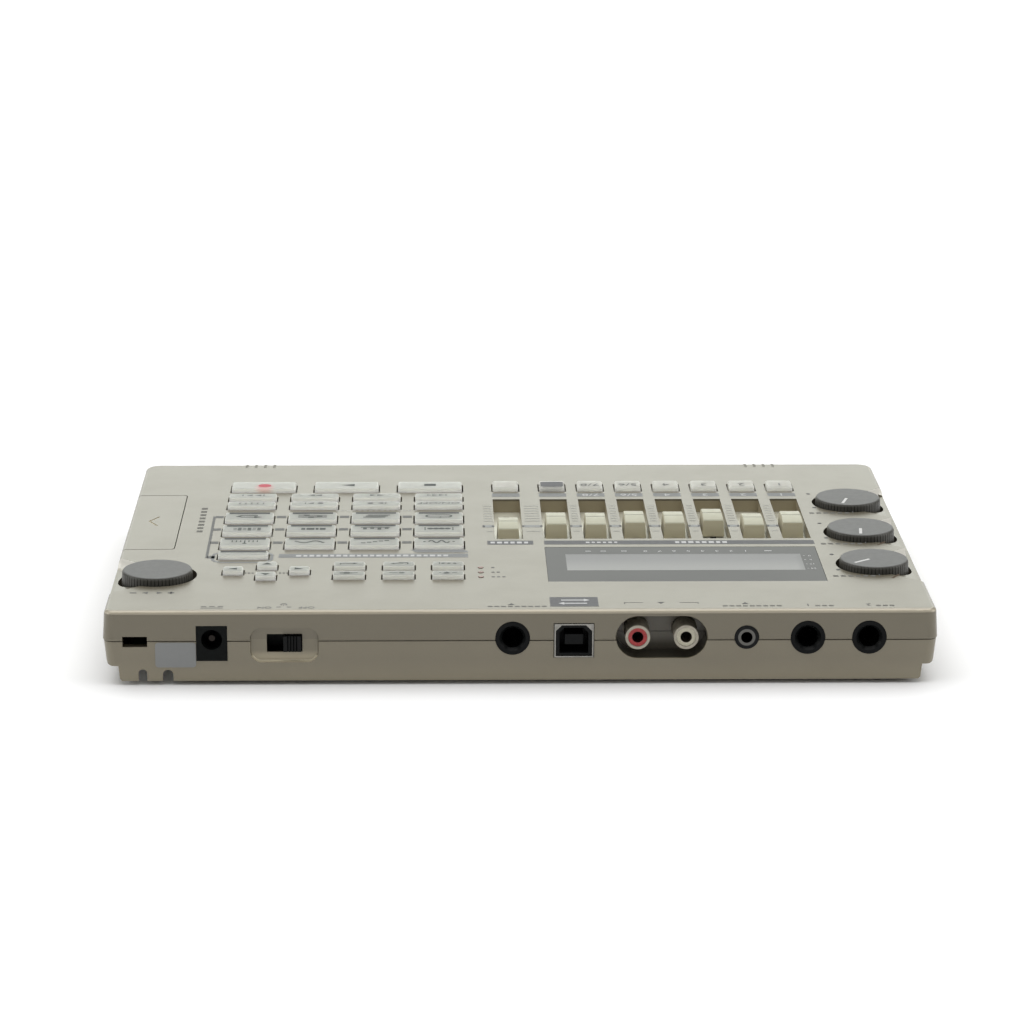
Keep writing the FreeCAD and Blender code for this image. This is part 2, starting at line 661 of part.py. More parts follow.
# ledge and inner wall behind the card cover
add.append(box("cover_ledge", "cover_inner_x-1.5", "127.2",
               "cover_front-1.5", "cover_rear+1.5", "21.0", "top_z-1"))
add.append(box("card_wall", "125.2", "127.3", "cover_front-1.5",
               "cover_rear+1.5", "seam_z", "21.2"))
add += bosses("top_boss", "3.1", "seam_z+0.05", "top_z-1-seam_z-0.05")
shell = fuse("top_walls", [shell] + add)

tools = rear_tools("top")
for name, places in KEYS.items():
    for px, py, wide, deep, gx, gy in places:
        tools.append(box("key_hole", "(%s)-%s/2" % (px, wide),
                         "(%s)+%s/2" % (px, wide), "(%s)-%s/2" % (py, deep),
                         "(%s)+%s/2" % (py, deep), "top_z-3", "top_z+1"))
for name, x, gx in STRIPS:
    tools.append(box("fader_well", "%s-well_wide/2" % x,
                     "%s+well_wide/2" % x, "well_front", "well_rear",
                     "well_floor_z", "top_z+1"))
    tools.append(box("fader_slot", "%s-slot_wide/2" % x,
                     "%s+slot_wide/2" % x, "fader_mid_y-18.5",
                     "fader_mid_y+18.5", "well_floor_z-2", "top_z"))
for x, y in (("knob_x", "knob_front_y"), ("knob_x", "knob_mid_y"),
             ("knob_x", "knob_rear_y"), ("dial_x", "dial_y")):
    tools.append(rod("knob_well", x.replace("_x", "_well_radius"), x, y,
                     "knob_well_z", "8"))
    tools.append(rod("spindle_hole", "3.8", x, y, "knob_well_z-3", "6"))


def scoop(cx, cy, side):
    """Finger dip that opens a knob well towards the side of the case.
    Its flat floor runs out in long hollow ramps; sections grow from nothing
    beside the knob to the full dip outside."""
    wires = []
    top = D["top_z"]
    turn = math.radians(44)
    for x, half, drop in ((4.2, 11.2, 0.06), (9.0, 15.2, 1.25),
                          (13.0, 19.0, D["rim_drop"] + 0.05),
                          (18.0, 22.6, D["rim_drop"] + 0.35)):
        r = drop / (1 - math.cos(turn))
        run = r * math.sin(turn)
        mid_run = run - r * math.sin(turn / 2)
        mid_low = drop - r * (1 - math.cos(turn / 2))
        px = cx + side * x
        a, b = cy - half, cy + half
        p = [V(px, a - 1, top + 1), V(px, a, top),
             V(px, a + mid_run, top - mid_low), V(px, a + run, top - drop),
             V(px, b - run, top - drop), V(px, b - mid_run, top - mid_low),
             V(px, b, top), V(px, b + 1, top + 1)]
        wires.append(Part.Wire([
            Part.LineSegment(p[0], p[1]).toShape(),
            Part.Arc(p[1], p[2], p[3]).toShape(),
            Part.LineSegment(p[3], p[4]).toShape(),
            Part.Arc(p[4], p[5], p[6]).toShape(),
            Part.LineSegment(p[6], p[7]).toShape(),
            Part.LineSegment(p[7], p[0]).toShape()]))
    return Part.makeLoft(wires, True, True)


for y in ("knob_front_y", "knob_mid_y", "knob_rear_y"):
    tools.append(free("scoop", scoop(D["knob_x"], D[y], -1)))
tools.append(free("scoop", scoop(D["dial_x"], D["dial_y"], 1)))
tools.append(box("rim_cut", "-131", "-127.5", "-51.8", "55.4",
                 "top_z-rim_drop", "top_z+1"))
# card cover: recess in the top, recess in the side, card opening


def round_plate(name, x0, x1, y0, y1, z0, z1, r):
    """Block whose two corners on the small-x side are rounded."""
    h = "(%s)-(%s)" % (z1, z0)
    return fuse(name, [
        box(name, "%s+%s" % (x0, r), x1, y0, y1, z0, z1),
        box(name, x0, "%s+%s+0.1" % (x0, r), "%s+%s" % (y0, r),
            "%s-%s" % (y1, r), z0, z1),
        rod(name, r, "%s+%s" % (x0, r), "%s+%s" % (y0, r), z0, h),
        rod(name, r, "%s+%s" % (x0, r), "%s-%s" % (y1, r), z0, h)])


tools.append(round_plate("cover_recess", "cover_inner_x", "131",
                         "cover_front", "cover_rear",
                         "top_z-cover_thick-0.35", "top_z+1",
                         "cover_round"))
tools.append(box("cover_side", "127.3", "131", "cover_front", "cover_rear",
                 "seam_z-1", "top_z+1"))
tools.append(box("card_opening", "124", "129", "-36", "8", "14.7", "19.3"))
# display recess and the opening under it
tools.append(box("lens_recess", "lens_left", "lens_right", "lens_front",
                 "lens_rear", "top_z-lens_thick-0.1", "top_z+1"))
tools.append(box("lens_opening", "-95.5", "-12.5", "23.5", "48.5",
                 "top_z-3", "top_z"))
for y in ("41.65", "46.85", "52.05"):
    tools.append(rod("lamp_hole", "1.0", "12.0", y, "top_z-3", "4"))
# slots over the two built-in microphones
for x in (88.4, -88.9):
    for i in range(4):
        left = "%.3f" % (x - 5.3 + i * 3.25)
        right = "%.3f" % (x - 4.4 + i * 3.25)
        tools.append(box("mic_slot", left, right, "-case_depth/2-1",
                         "-84.6", "top_z-1.4", "top_z+1"))
        tools.append(box("mic_slot", left, right, "-85.5", "-83.2",
                         "top_z-2.6", "top_z+1"))
tools += bosses("screw_hole", "1.3", "seam_z-1", "7.5")
node(cut("top_case", shell, tools), "top_case")

# ---------------------------------------------------------------- lower shell
tray = cut("tray_shell", tray_blank, [tray_hollow])
add = [rear_blocks("tray", "foot_height+1", "seam_z")]
add += bosses("tray_boss", "4.4", "foot_height+0.5",
              "seam_z-foot_height-0.5")
for x, y in ((100.0, -70.0), (-100.0, -62.0), (-70.0, 56.0), (85.0, 60.0),
             (14.0, 40.0), (-112.0, 10.0)):
    add.append(rod("board_post", "2.6", str(x), str(y), "foot_height+1",
                   "board_z-foot_height-1"))
add.append(box("bay_wall", "bay_left-bay_skin", "bay_right+bay_skin",
               "bay_front-bay_skin", "bay_rear+bay_skin", "foot_height+0.2",
               "bay_top+bay_skin"))
add.append(box("hook_wall", "104.4", "121.4", "69.6", "87.6",
               "foot_height+0.2", "6.7"))
tray = fuse("tray_walls", [tray] + add)
tools = rear_tools("tray")
tools.append(box("bay_room", "bay_left", "bay_right", "bay_front", "bay_rear",
                 "foot_height-1", "bay_top"))
# rebate that the battery cover sits in, with a finger notch
tools.append(box("hatch_rebate", "bay_left-2.6", "bay_right+2.6",
                 "bay_front-2.6", "bay_rear+2.6", "foot_height-1",
                 "foot_height+hatch_thick+0.35"))
tools.append(rod("hatch_thumb", "7", "49", "bay_rear+6", "foot_height-1",
                 "2.2"))
# cable hook: hollow in the plinth with two notches through the rear skirt
tools.append(box("hook_room", "106.0", "119.6", "71.2", "86.2",
                 "foot_height-1", "5.2"))
tools.append(box("notch", "107.75", "111.05", "85", "90", "foot_height-1",
                 "3.35"))
tools.append(rod("notch", "1.65", "109.4", "85", "3.35", "5", "y"))
tools.append(box("notch", "115.85", "118.55", "85", "90", "foot_height-1",
                 "3.8"))
tools.append(rod("notch", "1.35", "117.2", "85", "3.8", "5", "y"))
for x, y in BOSSES:
    tools.append(rod("screw_way", "1.6", str(x), str(y), "foot_height-1",
                     "16"))
    tools.append(rod("screw_sink", "3.1", str(x), str(y), "foot_height-1",
                     "5.4"))
# shallow seats for the feet
FEET = [(108.0, 58.0), (-108.0, 74.0), (-108.0, -76.0), (104.0, -76.0)]
for x, y in FEET:
    tools.append(rod("foot_seat", "6.2", str(x), str(y), "foot_height-1",
                     "1.4"))
# shadow line: a narrow groove below the parting line, also in the recess
core = body("seam_core")
sk = sketch(core, "seam_inside", lift="seam_z-2")
cw, cd = D["tray_half"] - D["seam_deep"], hd - 0.45 - D["seam_deep"]
rectangle(sk, "-tray_half+seam_deep", "tray_half-seam_deep",
          "-case_depth/2+0.45+seam_deep", "case_depth/2-0.45-seam_deep",
          (-cw, cw, -cd, cd))
feature = pad(core, sk, "4")
feature = fillet(core, feature, lambda e: upright(e) and
                 e.BoundBox.Center.y > 0, "corner_radius-seam_deep")
feature = fillet(core, feature, lambda e: upright(e) and
                 e.BoundBox.Center.y < 0, "corner_front-seam_deep")
around = box("seam_around", "-132", "132", "-92", "92", "seam_z-seam_gap",
             "seam_z+0.5")
tools.append(cut("seam_ring", around, [core]))
tools.append(box("seam_recess", "rca_pocket_x-rca_pocket_wide/2-0.8",
                 "rca_pocket_x+rca_pocket_wide/2+0.8",
                 "case_depth/2-rca_pocket_deep-0.3", "case_depth/2+1",
                 "seam_z-seam_gap", "seam_z+0.5"))
node(cut("bottom_case", tray, tools), "bottom_case")

# ---------------------------------------------------------------- covers
# Card cover: cut from the shell's own outline so that it is flush.
plate = round_plate("cover_plate", "cover_inner_x+cover_gap_inner", "131",
                    "cover_front+cover_gap", "cover_rear-cover_gap",
                    "top_z-cover_thick", "top_z+1", "cover_round")
cheek = box("cover_cheek", "127.65", "131", "cover_front+cover_gap",
            "cover_rear-cover_gap", "seam_z+0.4", "top_z+1")
cover = common("cover_skin", case_form, fuse("cover_solid", [plate, cheek]))
# engraved chevron that points outwards
chevron = [V(119.8, -8.5, 0), V(122.8, -13.9, 0), V(119.8, -19.6, 0),
           V(119.2, -19.6, 0), V(122.12, -13.9, 0), V(119.2, -8.5, 0)]
arrow = free("cover_arrow", Part.Face(Part.makePolygon(
    chevron + [chevron[0]])).extrude(V(0, 0, 1)))
place(arrow, z="top_z-0.22")
node(cut("card_cover", cover, [arrow]), "card_cover")

# Battery cover: plate with two hooks at one end and a latch at the other.
hatch = box("hatch_plate", "bay_left-2.2", "bay_right+2.2", "bay_front-2.2",
            "bay_rear+2.2", "foot_height", "foot_height+hatch_thick")
grips = [box("hatch_grip", "41", "57", "bay_rear-%d" % (4 + 3 * i),
             "bay_rear-%d" % (3 + 3 * i), "foot_height-1",
             "foot_height+0.5") for i in range(4)]
tongue = [box("hatch_tongue", "bay_left+2", "bay_left+9", "bay_front+0.4",
              "bay_front+2", "foot_height+0.5", "6.4"),
          box("hatch_tongue", "bay_right-9", "bay_right-2", "bay_front+0.4",
              "bay_front+2", "foot_height+0.5", "6.4"),
          box("hatch_latch", "45", "53", "bay_rear-2", "bay_rear-0.4",
              "foot_height+0.5", "7.4")]
node(cut("battery_cover", fuse("hatch", [hatch] + tongue), grips),
     "battery_cover")

# ---------------------------------------------------------------- rotary parts


def knob(name, x, y, radius, face, angle, teeth):
    """Turned cap with a knurled skirt, hollow below, and its spindle."""
    bd = body(name + "_cap")
    sk = sketch(bd, "half_section", role="XZ_Plane")
    low, top = D["knob_low_z"], D["knob_top_z"]
    prof = [(0, top - 2.4, "0", "knob_top_z-2.4"),
            (3.03, top - 2.4, "spindle_radius+0.03", "knob_top_z-2.4"),
            (3.03, low + 0.3, "spindle_radius+0.03", "knob_low_z+0.3"),
            (4.8, low + 0.3, "spindle_radius+1.8", "knob_low_z+0.3"),
            (4.8, top - 1.8, "spindle_radius+1.8", "knob_top_z-1.8"),
            (D[radius] - 1.7, top - 1.8, radius + "-1.7", "knob_top_z-1.8"),
            (D[radius] - 1.7, low, radius + "-1.7", "knob_low_z"),
            (D[radius], low, radius, "knob_low_z"),
            (D[radius] - 0.34, top - 0.7, radius + "-0.34",
             "knob_top_z-0.7"),
            (D[face] + 0.12, top - 0.14, face + "+0.12", "knob_top_z-0.14"),
            (D[face] - 0.22, top, face + "-0.22", "knob_top_z"),
            (0, top, "0", "knob_top_z")]
    polygon(sk, prof)
    rev = bd.newObject("PartDesign::Revolution", tag("Turned"))
    rev.Profile = sk
    rev.ReferenceAxis = (sk, ["V_Axis"])
    rev.Angle = 360
    doc.recompute()
    if teeth:
        sk = sketch(bd, "tooth_gap", lift="knob_low_z-1")
        polygon(sk, [(D[radius] - 0.66, 0.0, radius + "-0.66", "0"),
                     (D[radius] + 0.3, -0.34, radius + "+0.3", "-0.34"),
                     (D[radius] + 0.3, 0.34, radius + "+0.3", "0.34")])
        gap = bd.newObject("PartDesign::Pocket", tag("Gap"))
        gap.Profile = sk
        gap.Reversed = True
        gap.setExpression("Length", bind("knob_top_z-knob_low_z+1"))
        doc.recompute()
        if gap.Shape.Volume >= rev.Shape.Volume - 0.01:
            gap.Reversed = False
            doc.recompute()
        ring = bd.newObject("PartDesign::PolarPattern", tag("Knurl"))
        ring.Originals = [gap]
        ring.Axis = (plane(bd, "Z_Axis"), [""])
        ring.Angle = 360
        ring.Occurrences = teeth
        bd.Tip = ring
        doc.recompute()
    if angle is not None:
        # groove of the pointer line in the face
        sk = sketch(bd, "pointer", lift="knob_top_z+1")
        rectangle(sk, "-0.5", "0.5", "2.0", "8.6", (-0.5, 0.5, 2.0, 8.6))
        before = bd.Tip.Shape.Volume
        slot = bd.newObject("PartDesign::Pocket", tag("Pointer"))
        slot.Profile = sk
        slot.Length = 1.2
        doc.recompute()
        if slot.Shape.Volume >= before - 0.01:
            slot.Reversed = True
            doc.recompute()
        bd.Placement = FreeCAD.Placement(V(), FreeCAD.Rotation(V(0, 0, 1),
                                                               angle))
    place(bd, x, y, "0")
    spindle = rod(name + "_spindle", "spindle_radius", x, y, "12.0",
                  "knob_top_z-2.6-12")
    return node(group(name, [bd, spindle]), name)


knob("rec_level_knob", "knob_x", "knob_front_y", "knob_radius",
     "knob_face_radius", -18.3, 60)
knob("mic_level_knob", "knob_x", "knob_mid_y", "knob_radius",
     "knob_face_radius", -6.2, 60)
knob("guitar_level_knob", "knob_x", "knob_rear_y", "knob_radius",
     "knob_face_radius", -52.0, 60)
knob("value_dial", "dial_x", "dial_y", "dial_radius", "dial_face_radius",
     None, 60)

# Potentiometers and the encoder, with the bushes that the spindles run in.
pots = []
for x, y in (("knob_x", "knob_front_y"), ("knob_x", "knob_mid_y"),
             ("knob_x", "knob_rear_y"), ("dial_x", "dial_y")):
    can = box("pot_can", "%s-6.5" % x, "%s+6.5" % x, "%s-6.5" % y,
              "%s+6.5" % y, "board_z+board_thick+0.05", "15.6")
    bush = rod("pot_bush", "3.6", x, y, "15.0", "3.9")
    way = rod("pot_bore", "spindle_radius+spindle_fit", x, y, "11.8", "9")
    pots.append(cut("pot", fuse("pot", [can, bush]), [way]))
node(group("pot_bodies", pots), "pot_bodies")

# ---------------------------------------------------------------- faders
CAP_AT = {"master": -5.4, "rhythm": -11.2, "7_8": -10.8, "5_6": -12.9,
          "4": -12.2, "3": -15.4, "2": -9.7, "1": -12.4}


def arch(y0, long, low, end, crest):
    """Side outline of a fader cap, with a gently arched top."""
    a, b = y0 - long / 2, y0 + long / 2
    p = [V(0, a + 0.15, low), V(0, a, end - 0.3), V(0, a + 0.35, end),
         V(0, y0, crest), V(0, b - 0.35, end), V(0, b, end - 0.3),
         V(0, b - 0.15, low)]
    return Part.Wire([
        Part.LineSegment(p[0], p[1]).toShape(),
        Part.LineSegment(p[1], p[2]).toShape(),
        Part.Arc(p[2], p[3], p[4]).toShape(),
        Part.LineSegment(p[4], p[5]).toShape(),
        Part.LineSegment(p[5], p[6]).toShape(),
        Part.LineSegment(p[6], p[0]).toShape()])


fader_shells = []
for name, x, gx in STRIPS:
    y0 = CAP_AT[name]
    face = Part.Face(arch(0.0, D["cap_long"], D["cap_low_z"], D["cap_end_z"],
                          D["cap_crest_z"]))
    half, low_half = D["cap_wide"] / 2, D["cap_wide_low"] / 2
    face.translate(V(-low_half, 0, 0))
    solid = face.extrude(V(2 * low_half, 0, 0))
    flank = [V(-low_half, -20, D["cap_low_z"] - 0.01),
             V(low_half, -20, D["cap_low_z"] - 0.01),
             V(half, -20, D["cap_crest_z"] + 0.01),
             V(-half, -20, D["cap_crest_z"] + 0.01)]
    flank = Part.Face(Part.makePolygon(flank + [flank[0]])).extrude(
        V(0, 40, 0))
    solid = solid.common(flank).Solids[0]
    ridge = [e for e in solid.Edges if e.BoundBox.ZMin > D["cap_end_z"] - 0.35
             and e.BoundBox.XLength < 1]
    solid = solid.makeFillet(0.35, ridge)
    form = free("cap_form", solid)
    doc.recompute()
    place(form, x, str(y0), "0")
    line = box("cap_line", "%s-5" % x, "%s+5" % x, "%s-0.25" % y0,
               "%s+0.25" % y0, "cap_crest_z-0.35", "cap_crest_z+1")
    socket = box("cap_socket", "%s-lever_wide/2-0.05" % x,
                 "%s+lever_wide/2+0.05" % x, "%s-lever_long/2-0.05" % y0,
                 "%s+lever_long/2+0.05" % y0, "cap_low_z-1", "23.2")
    cap = cut("cap", form, [line, socket])
    lever = box("lever", "%s-lever_wide/2" % x, "%s+lever_wide/2" % x,
                "%s-lever_long/2" % y0, "%s+lever_long/2" % y0, "12.5",
                "23.1")
    node(group("fader_cap", [cap, lever]), "fader_cap_" + name)
    outer = box("fader_can", "%s-4.3" % x, "%s+4.3" % x, "fader_mid_y-23",
                "fader_mid_y+23", "board_z+board_thick+0.05", "16.8")
    inside = box("fader_room", "%s-2.6" % x, "%s+2.6" % x, "fader_mid_y-21",
                 "fader_mid_y+21", "11.6", "15.8")
    slit = box("fader_slit", "%s-slot_wide/2" % x, "%s+slot_wide/2" % x,
               "fader_mid_y-18.5", "fader_mid_y+18.5", "11.6", "18")
    fader_shells.append(cut("fader", outer, [inside, slit]))
node(group("fader_bodies", fader_shells), "fader_bodies")

# ---------------------------------------------------------------- display
node(box("display_window", "lens_left+0.12", "lens_right-0.12",
         "lens_front+0.12", "lens_rear-0.12", "top_z-lens_thick-0.05",
         "top_z-0.05"), "display_window")
glass = box("lcd_frame", "-95.0", "-13.0", "24.0", "48.0",
            "panel_z+panel_thick+0.05", "top_z-1.15")
window = box("lcd_view", "-92.0", "-15.8", "26.4", "45.1", "22.3", "24")
cell = box("lcd_cell", "-91.95", "-15.85", "26.45", "45.05", "22.32",
           "top_z-1.25")
node(group("lcd_module", [cut("lcd", glass, [window]), cell]), "lcd_module")

# ---------------------------------------------------------------- boards
main = box("main", "-121.5", "121.5", "-72", "84.5", "board_z",
           "board_z+board_thick")
main_holes = [
    box("bay_notch", "bay_left-bay_skin-0.6", "bay_right+bay_skin+0.6",
        "-90", "bay_rear+bay_skin+0.6", "board_z-1",
        "board_z+board_thick+1"),
    box("rca_notch", "rca_pocket_x-rca_pocket_wide/2-2.2",
        "rca_pocket_x+rca_pocket_wide/2+2.2",
        "case_depth/2-rca_pocket_deep-2.3", "90", "board_z-1",
        "board_z+board_thick+1"),
    box("usb_notch", "usb_x-usb_wide/2-0.5", "usb_x+usb_wide/2+0.5", "71.9",
        "90", "board_z-1", "board_z+board_thick+1"),
    box("switch_notch", "62", "84.6", "78", "90", "board_z-1",
        "board_z+board_thick+1"),
    box("dc_notch", "dc_x-dc_wide/2-0.6", "dc_x+dc_wide/2+0.6", "73", "90",
        "board_z-1", "board_z+board_thick+1")]
main_holes += bosses("boss_way", "5.2", "board_z-1", "board_thick+2")
node(cut("main_board", main, main_holes), "main_board")

panel = [box("panel", "10.6", "101.0", "-67", "61", "panel_z",
             "panel_z+panel_thick"),
         box("panel", "-100.3", "10.7", "-66.5", "-43.2", "panel_z",
             "panel_z+panel_thick"),
         box("panel", "-101.0", "10.7", "12.0", "61", "panel_z",
             "panel_z+panel_thick")]
node(fuse("panel_board", panel), "panel_board")

mat = [box("mat", "13.6", "100.4", "-66.4", "60", "panel_z+panel_thick",
           "panel_z+panel_thick+0.9"),
       box("mat", "-100.0", "13.7", "-66.4", "-44.4", "panel_z+panel_thick",
           "panel_z+panel_thick+0.9")]
mat_holes = []
for name, places in KEYS.items():
    reach = "key_flange_over-key_gap+mat_clear"
    xs = [p[4] for p in places]
    lo, hi = places[xs.index(min(xs))], places[xs.index(max(xs))]
    mat_holes.append(box(
        "mat_hole", "(%s)-%s/2-(%s)" % (lo[0], lo[2], reach),
        "(%s)+%s/2+(%s)" % (hi[0], hi[2], reach),
        "(%s)-%s/2-(%s)" % (lo[1], lo[3], reach),
        "(%s)+%s/2+(%s)" % (lo[1], lo[3], reach), "panel_z", "top_z"))
node(cut("key_mat", fuse("mat", mat), mat_holes), "key_mat")

lamps = [rod("lamp", "0.85", "12.0", y, "panel_z+panel_thick+0.02",
             "top_z+0.15-panel_z-panel_thick-0.02")
         for y in ("41.65", "46.85", "52.05")]
node(group("indicator_leds", lamps), "indicator_leds")

# ---------------------------------------------------------------- jacks
BOARD_TOP = "board_z+board_thick+0.05"


def phone(x, sign):
    """Jack for a 6.35 mm plug: block on the board, bush through the wall."""
    if sign > 0:
        block = box("phone_block", "%s-7.6" % x, "%s+7.6" % x, "61", "85.6",
                    BOARD_TOP, "20.9")
        bush = rod("phone_nose", "phone_bush", x, "85", "phone_z",
                   "case_depth/2-85-0.1", "y")
        bore = rod("phone_way", "phone_bore", x, "66", "phone_z", "24", "y")
        lead = cone("phone_lead", "phone_bore", "phone_bore+1.0", x,
                    "case_depth/2-1.1", "phone_z", "1.2", "y")
        leaf = box("phone_leaf", "%s-1.8" % x, "%s+1.8" % x, "68", "80",
                   "phone_z-phone_bore-1.2", "phone_z")
    else:
        block = box("phone_block", "%s-7.6" % x, "%s+7.6" % x, "-85.6",
                    "-61", BOARD_TOP, "20.9")
        bush = rod("phone_nose", "phone_bush", x, "-case_depth/2+0.1",
                   "phone_z", "case_depth/2-85-0.1", "y")
        bore = rod("phone_way", "phone_bore", x, "-90", "phone_z", "24", "y")
        lead = cone("phone_lead", "phone_bore+1.0", "phone_bore", x,
                    "-case_depth/2-0.1", "phone_z", "1.2", "y")
        leaf = box("phone_leaf", "%s-1.8" % x, "%s+1.8" % x, "-80", "-68",
                   "phone_z-phone_bore-1.2", "phone_z")
    return cut("phone_jack", fuse("phone_jack", [block, bush]),
               [bore, lead, leaf])


node(group("phone_jacks", [phone("foot_jack_x", 1), phone("mic_one_x", 1),
                           phone("mic_two_x", 1),
                           phone("guitar_jack_x", -1)]), "phone_jacks")


def mini(x, sign):
    """Jack for a 3.5 mm plug."""
    if sign > 0:
        block = box("mini_block", "%s-5" % x, "%s+5" % x, "71", "85.6",
                    BOARD_TOP, "19.2")
        bush = rod("mini_nose", "mini_bush", x, "85", "mini_z",
                   "case_depth/2-85-0.1", "y")
        bore = rod("mini_way", "mini_bore", x, "74.5", "mini_z", "15", "y")
    else:
        block = box("mini_block", "%s-5" % x, "%s+5" % x, "-85.6", "-71",
                    BOARD_TOP, "19.2")
        bush = rod("mini_nose", "mini_bush", x, "-case_depth/2+0.1", "mini_z",
                   "case_depth/2-85-0.1", "y")
        bore = rod("mini_way", "mini_bore", x, "-89.5", "mini_z", "15", "y")
    return cut("mini_jack", fuse("mini_jack", [block, bush]), [bore])


node(group("mini_jacks", [mini("line_in_x", 1), mini("head_jack_x", -1)]),
     "mini_jacks")

# Data socket: folded metal shell with cut upper corners, and its core.


def usb_outline(grow, y0, y1):
    w, h = D["usb_wide"] / 2 - grow, D["usb_high"] / 2 - grow
    x, z = D["usb_x"], D["usb_z"]
    pts = [V(x - w, y0, z - h), V(x + w, y0, z - h), V(x + w, y0, z + h),
           V(x - w, y0, z + h)]
    return Part.Face(Part.makePolygon(pts + [pts[0]])).extrude(
        V(0, y1 - y0, 0))


def usb_core_outline(wide, high, bevel, z, y0, y1):
    w, x = wide / 2, D["usb_x"]
    pts = [V(x - w, y0, z), V(x + w, y0, z), V(x + w, y0, z + high - bevel),
           V(x + w - bevel, y0, z + high), V(x - w + bevel, y0, z + high),
           V(x - w, y0, z + high - bevel)]
    return Part.Face(Part.makePolygon(pts + [pts[0]])).extrude(
        V(0, y1 - y0, 0))


rear = D["case_depth"] / 2
low = D["usb_z"] - D["usb_high"] / 2
can = usb_outline(0.0, rear - 16.0, rear - 0.05).cut(
    usb_outline(0.4, rear - 15.6, rear + 1))
core = usb_core_outline(11.2, 9.9, 0.05, low + 0.45, rear - 15.5, rear - 0.5)
core = core.cut(usb_core_outline(9.0, 8.2, 1.6, low + 1.3, rear - 9.5,
                                 rear + 1))
blade = Part.makeBox(5.6, 9.0, 3.2, V(D["usb_x"] - 2.8, rear - 10.0,
                                      low + 4.0))
core = core.fuse(blade).removeSplitter()
node(group("usb_socket", [free("usb_can", can), free("usb_core", core)]),
     "usb_socket")

# Phono pair: two metal barrels, their insulators, and the block behind.
shells_made = []
cores_made = []
for x in ("rca_red_x", "rca_white_x"):
    outer = rod("barrel", "rca_radius", x, "76.2", "rca_z",
                "case_depth/2-0.4-76.2", "y")
    inner = rod("barrel_way", "rca_core_radius+0.05", x, "76.8", "rca_z",
                "14", "y")
    shells_made.append(cut("barrel", outer, [inner]))
    core_rod = rod("core", "rca_core_radius", x, "77.0", "rca_z",
                   "case_depth/2-0.7-77.0", "y")
    core_way = rod("core_way", "rca_bore", x, "78.5", "rca_z", "12", "y")
    cores_made.append(cut("core", core_rod, [core_way]))
block = box("rca_block", "rca_white_x-5", "rca_red_x+5", "63", "75.9",
            BOARD_TOP, "20.6")
shells_made.append(block)
node(group("rca_shells", shells_made), "rca_shells")
node(group("rca_cores", cores_made), "rca_cores")

# Supply inlet: square block with a stepped bore and a centre pin.
dc = box("dc_block", "dc_x-dc_wide/2", "dc_x+dc_wide/2", "74",
         "case_depth/2-0.1", "dc_low", "dc_low+dc_high")
dc_way = rod("dc_way", "dc_bore", "dc_x", "78.5", "dc_bore_z", "14", "y")
dc_spring = box("dc_spring", "dc_x-1.9", "dc_x+1.9", "79", "84.5",
                "dc_bore_z-dc_bore-0.9", "dc_bore_z")
pin = rod("dc_pin_rod", "dc_pin", "dc_x", "78.55", "dc_bore_z", "8.0", "y")
node(group("dc_jack", [cut("dc", dc, [dc_way, dc_spring]), pin]), "dc_jack")

# Power switch: metal frame behind the panel and the sliding knob.
frame = box("switch_frame", "switch_x-10.5", "switch_x+10.5", "78.6",
            "85.6", "switch_z-4.2", "switch_z+4.6")
room = box("switch_room", "switch_x-switch_wide/2-0.2",
           "switch_x+switch_wide/2+0.2", "79.6", "90",
           "switch_z-switch_high/2-0.1", "switch_z+switch_high/2+0.1")
node(cut("power_switch_body", frame, [room]), "power_switch_body")
left = "switch_x-switch_wide/2+0.35"
slider = box("switch_stem", left, left + "+switch_knob_wide", "80.0",
             "case_depth/2-0.45", "switch_z-switch_knob_high/2",
             "switch_z+switch_knob_high/2")
ribs = [box("switch_groove", "%s+%.2f" % (left, 1.15 + 0.9 * i),
            "%s+%.2f" % (left, 1.6 + 0.9 * i), "case_depth/2-0.8",
            "case_depth/2+1", "switch_z-4", "switch_z+4") for i in range(4)]
node(cut("power_switch_knob", slider, ribs), "power_switch_knob")

# ---------------------------------------------------------------- inner parts
socket_case = box("card_case", "90", "124.9", "-37.5", "9.5", BOARD_TOP,
                  "18.1")
socket_room = box("card_room", "96", "130", "-35.9", "7.9", "14.2", "17.3")
node(cut("card_socket", socket_case, [socket_room]), "card_socket")

contacts = []
third = "(bay_right-bay_left)/3"
for i in range(3):
    for y, wall in (("bay_front+2.15", "+0.4"), ("bay_rear-0.45", "+0.4")):
        y0 = y if "front" in y else y
        contacts.append(box("contact", "bay_left+%d*%s+2.2" % (i, third),
                            "bay_left+%d*%s-2.2" % (i + 1, third),
                            y0, y0 + wall, "8.2", "16.8"))
node(group("battery_contacts", contacts), "battery_contacts")

mics = [rod("capsule", "2.9", x, "-79.0", "17.2", "4.7")
        for x in ("88.4", "-88.9")]
node(group("mic_capsules", mics), "mic_capsules")

feet = []
for x, y in FEET:
    feet.append(cone("foot", "5.3", "6.0", str(x), str(y), "0",
                     "foot_height+0.3"))
node(group("rubber_feet", feet), "rubber_feet")

screws = []
for x, y in BOSSES:
    head = rod("screw_head", "2.75", str(x), str(y), "4.05", "1.7")
    shank = rod("screw_shank", "1.25", str(x), str(y), "4.5", "14.0")
    cross = [box("screw_cross", "%s-1.5" % x, "%s+1.5" % x, "%s-0.3" % y,
                 "%s+0.3" % y, "3", "4.9"),
             box("screw_cross", "%s-0.3" % x, "%s+0.3" % x, "%s-1.5" % y,
                 "%s+1.5" % y, "3", "4.9")]
    screws.append(cut("screw", fuse("screw", [head, shank]), cross))
node(group("case_screws", screws), "case_screws")

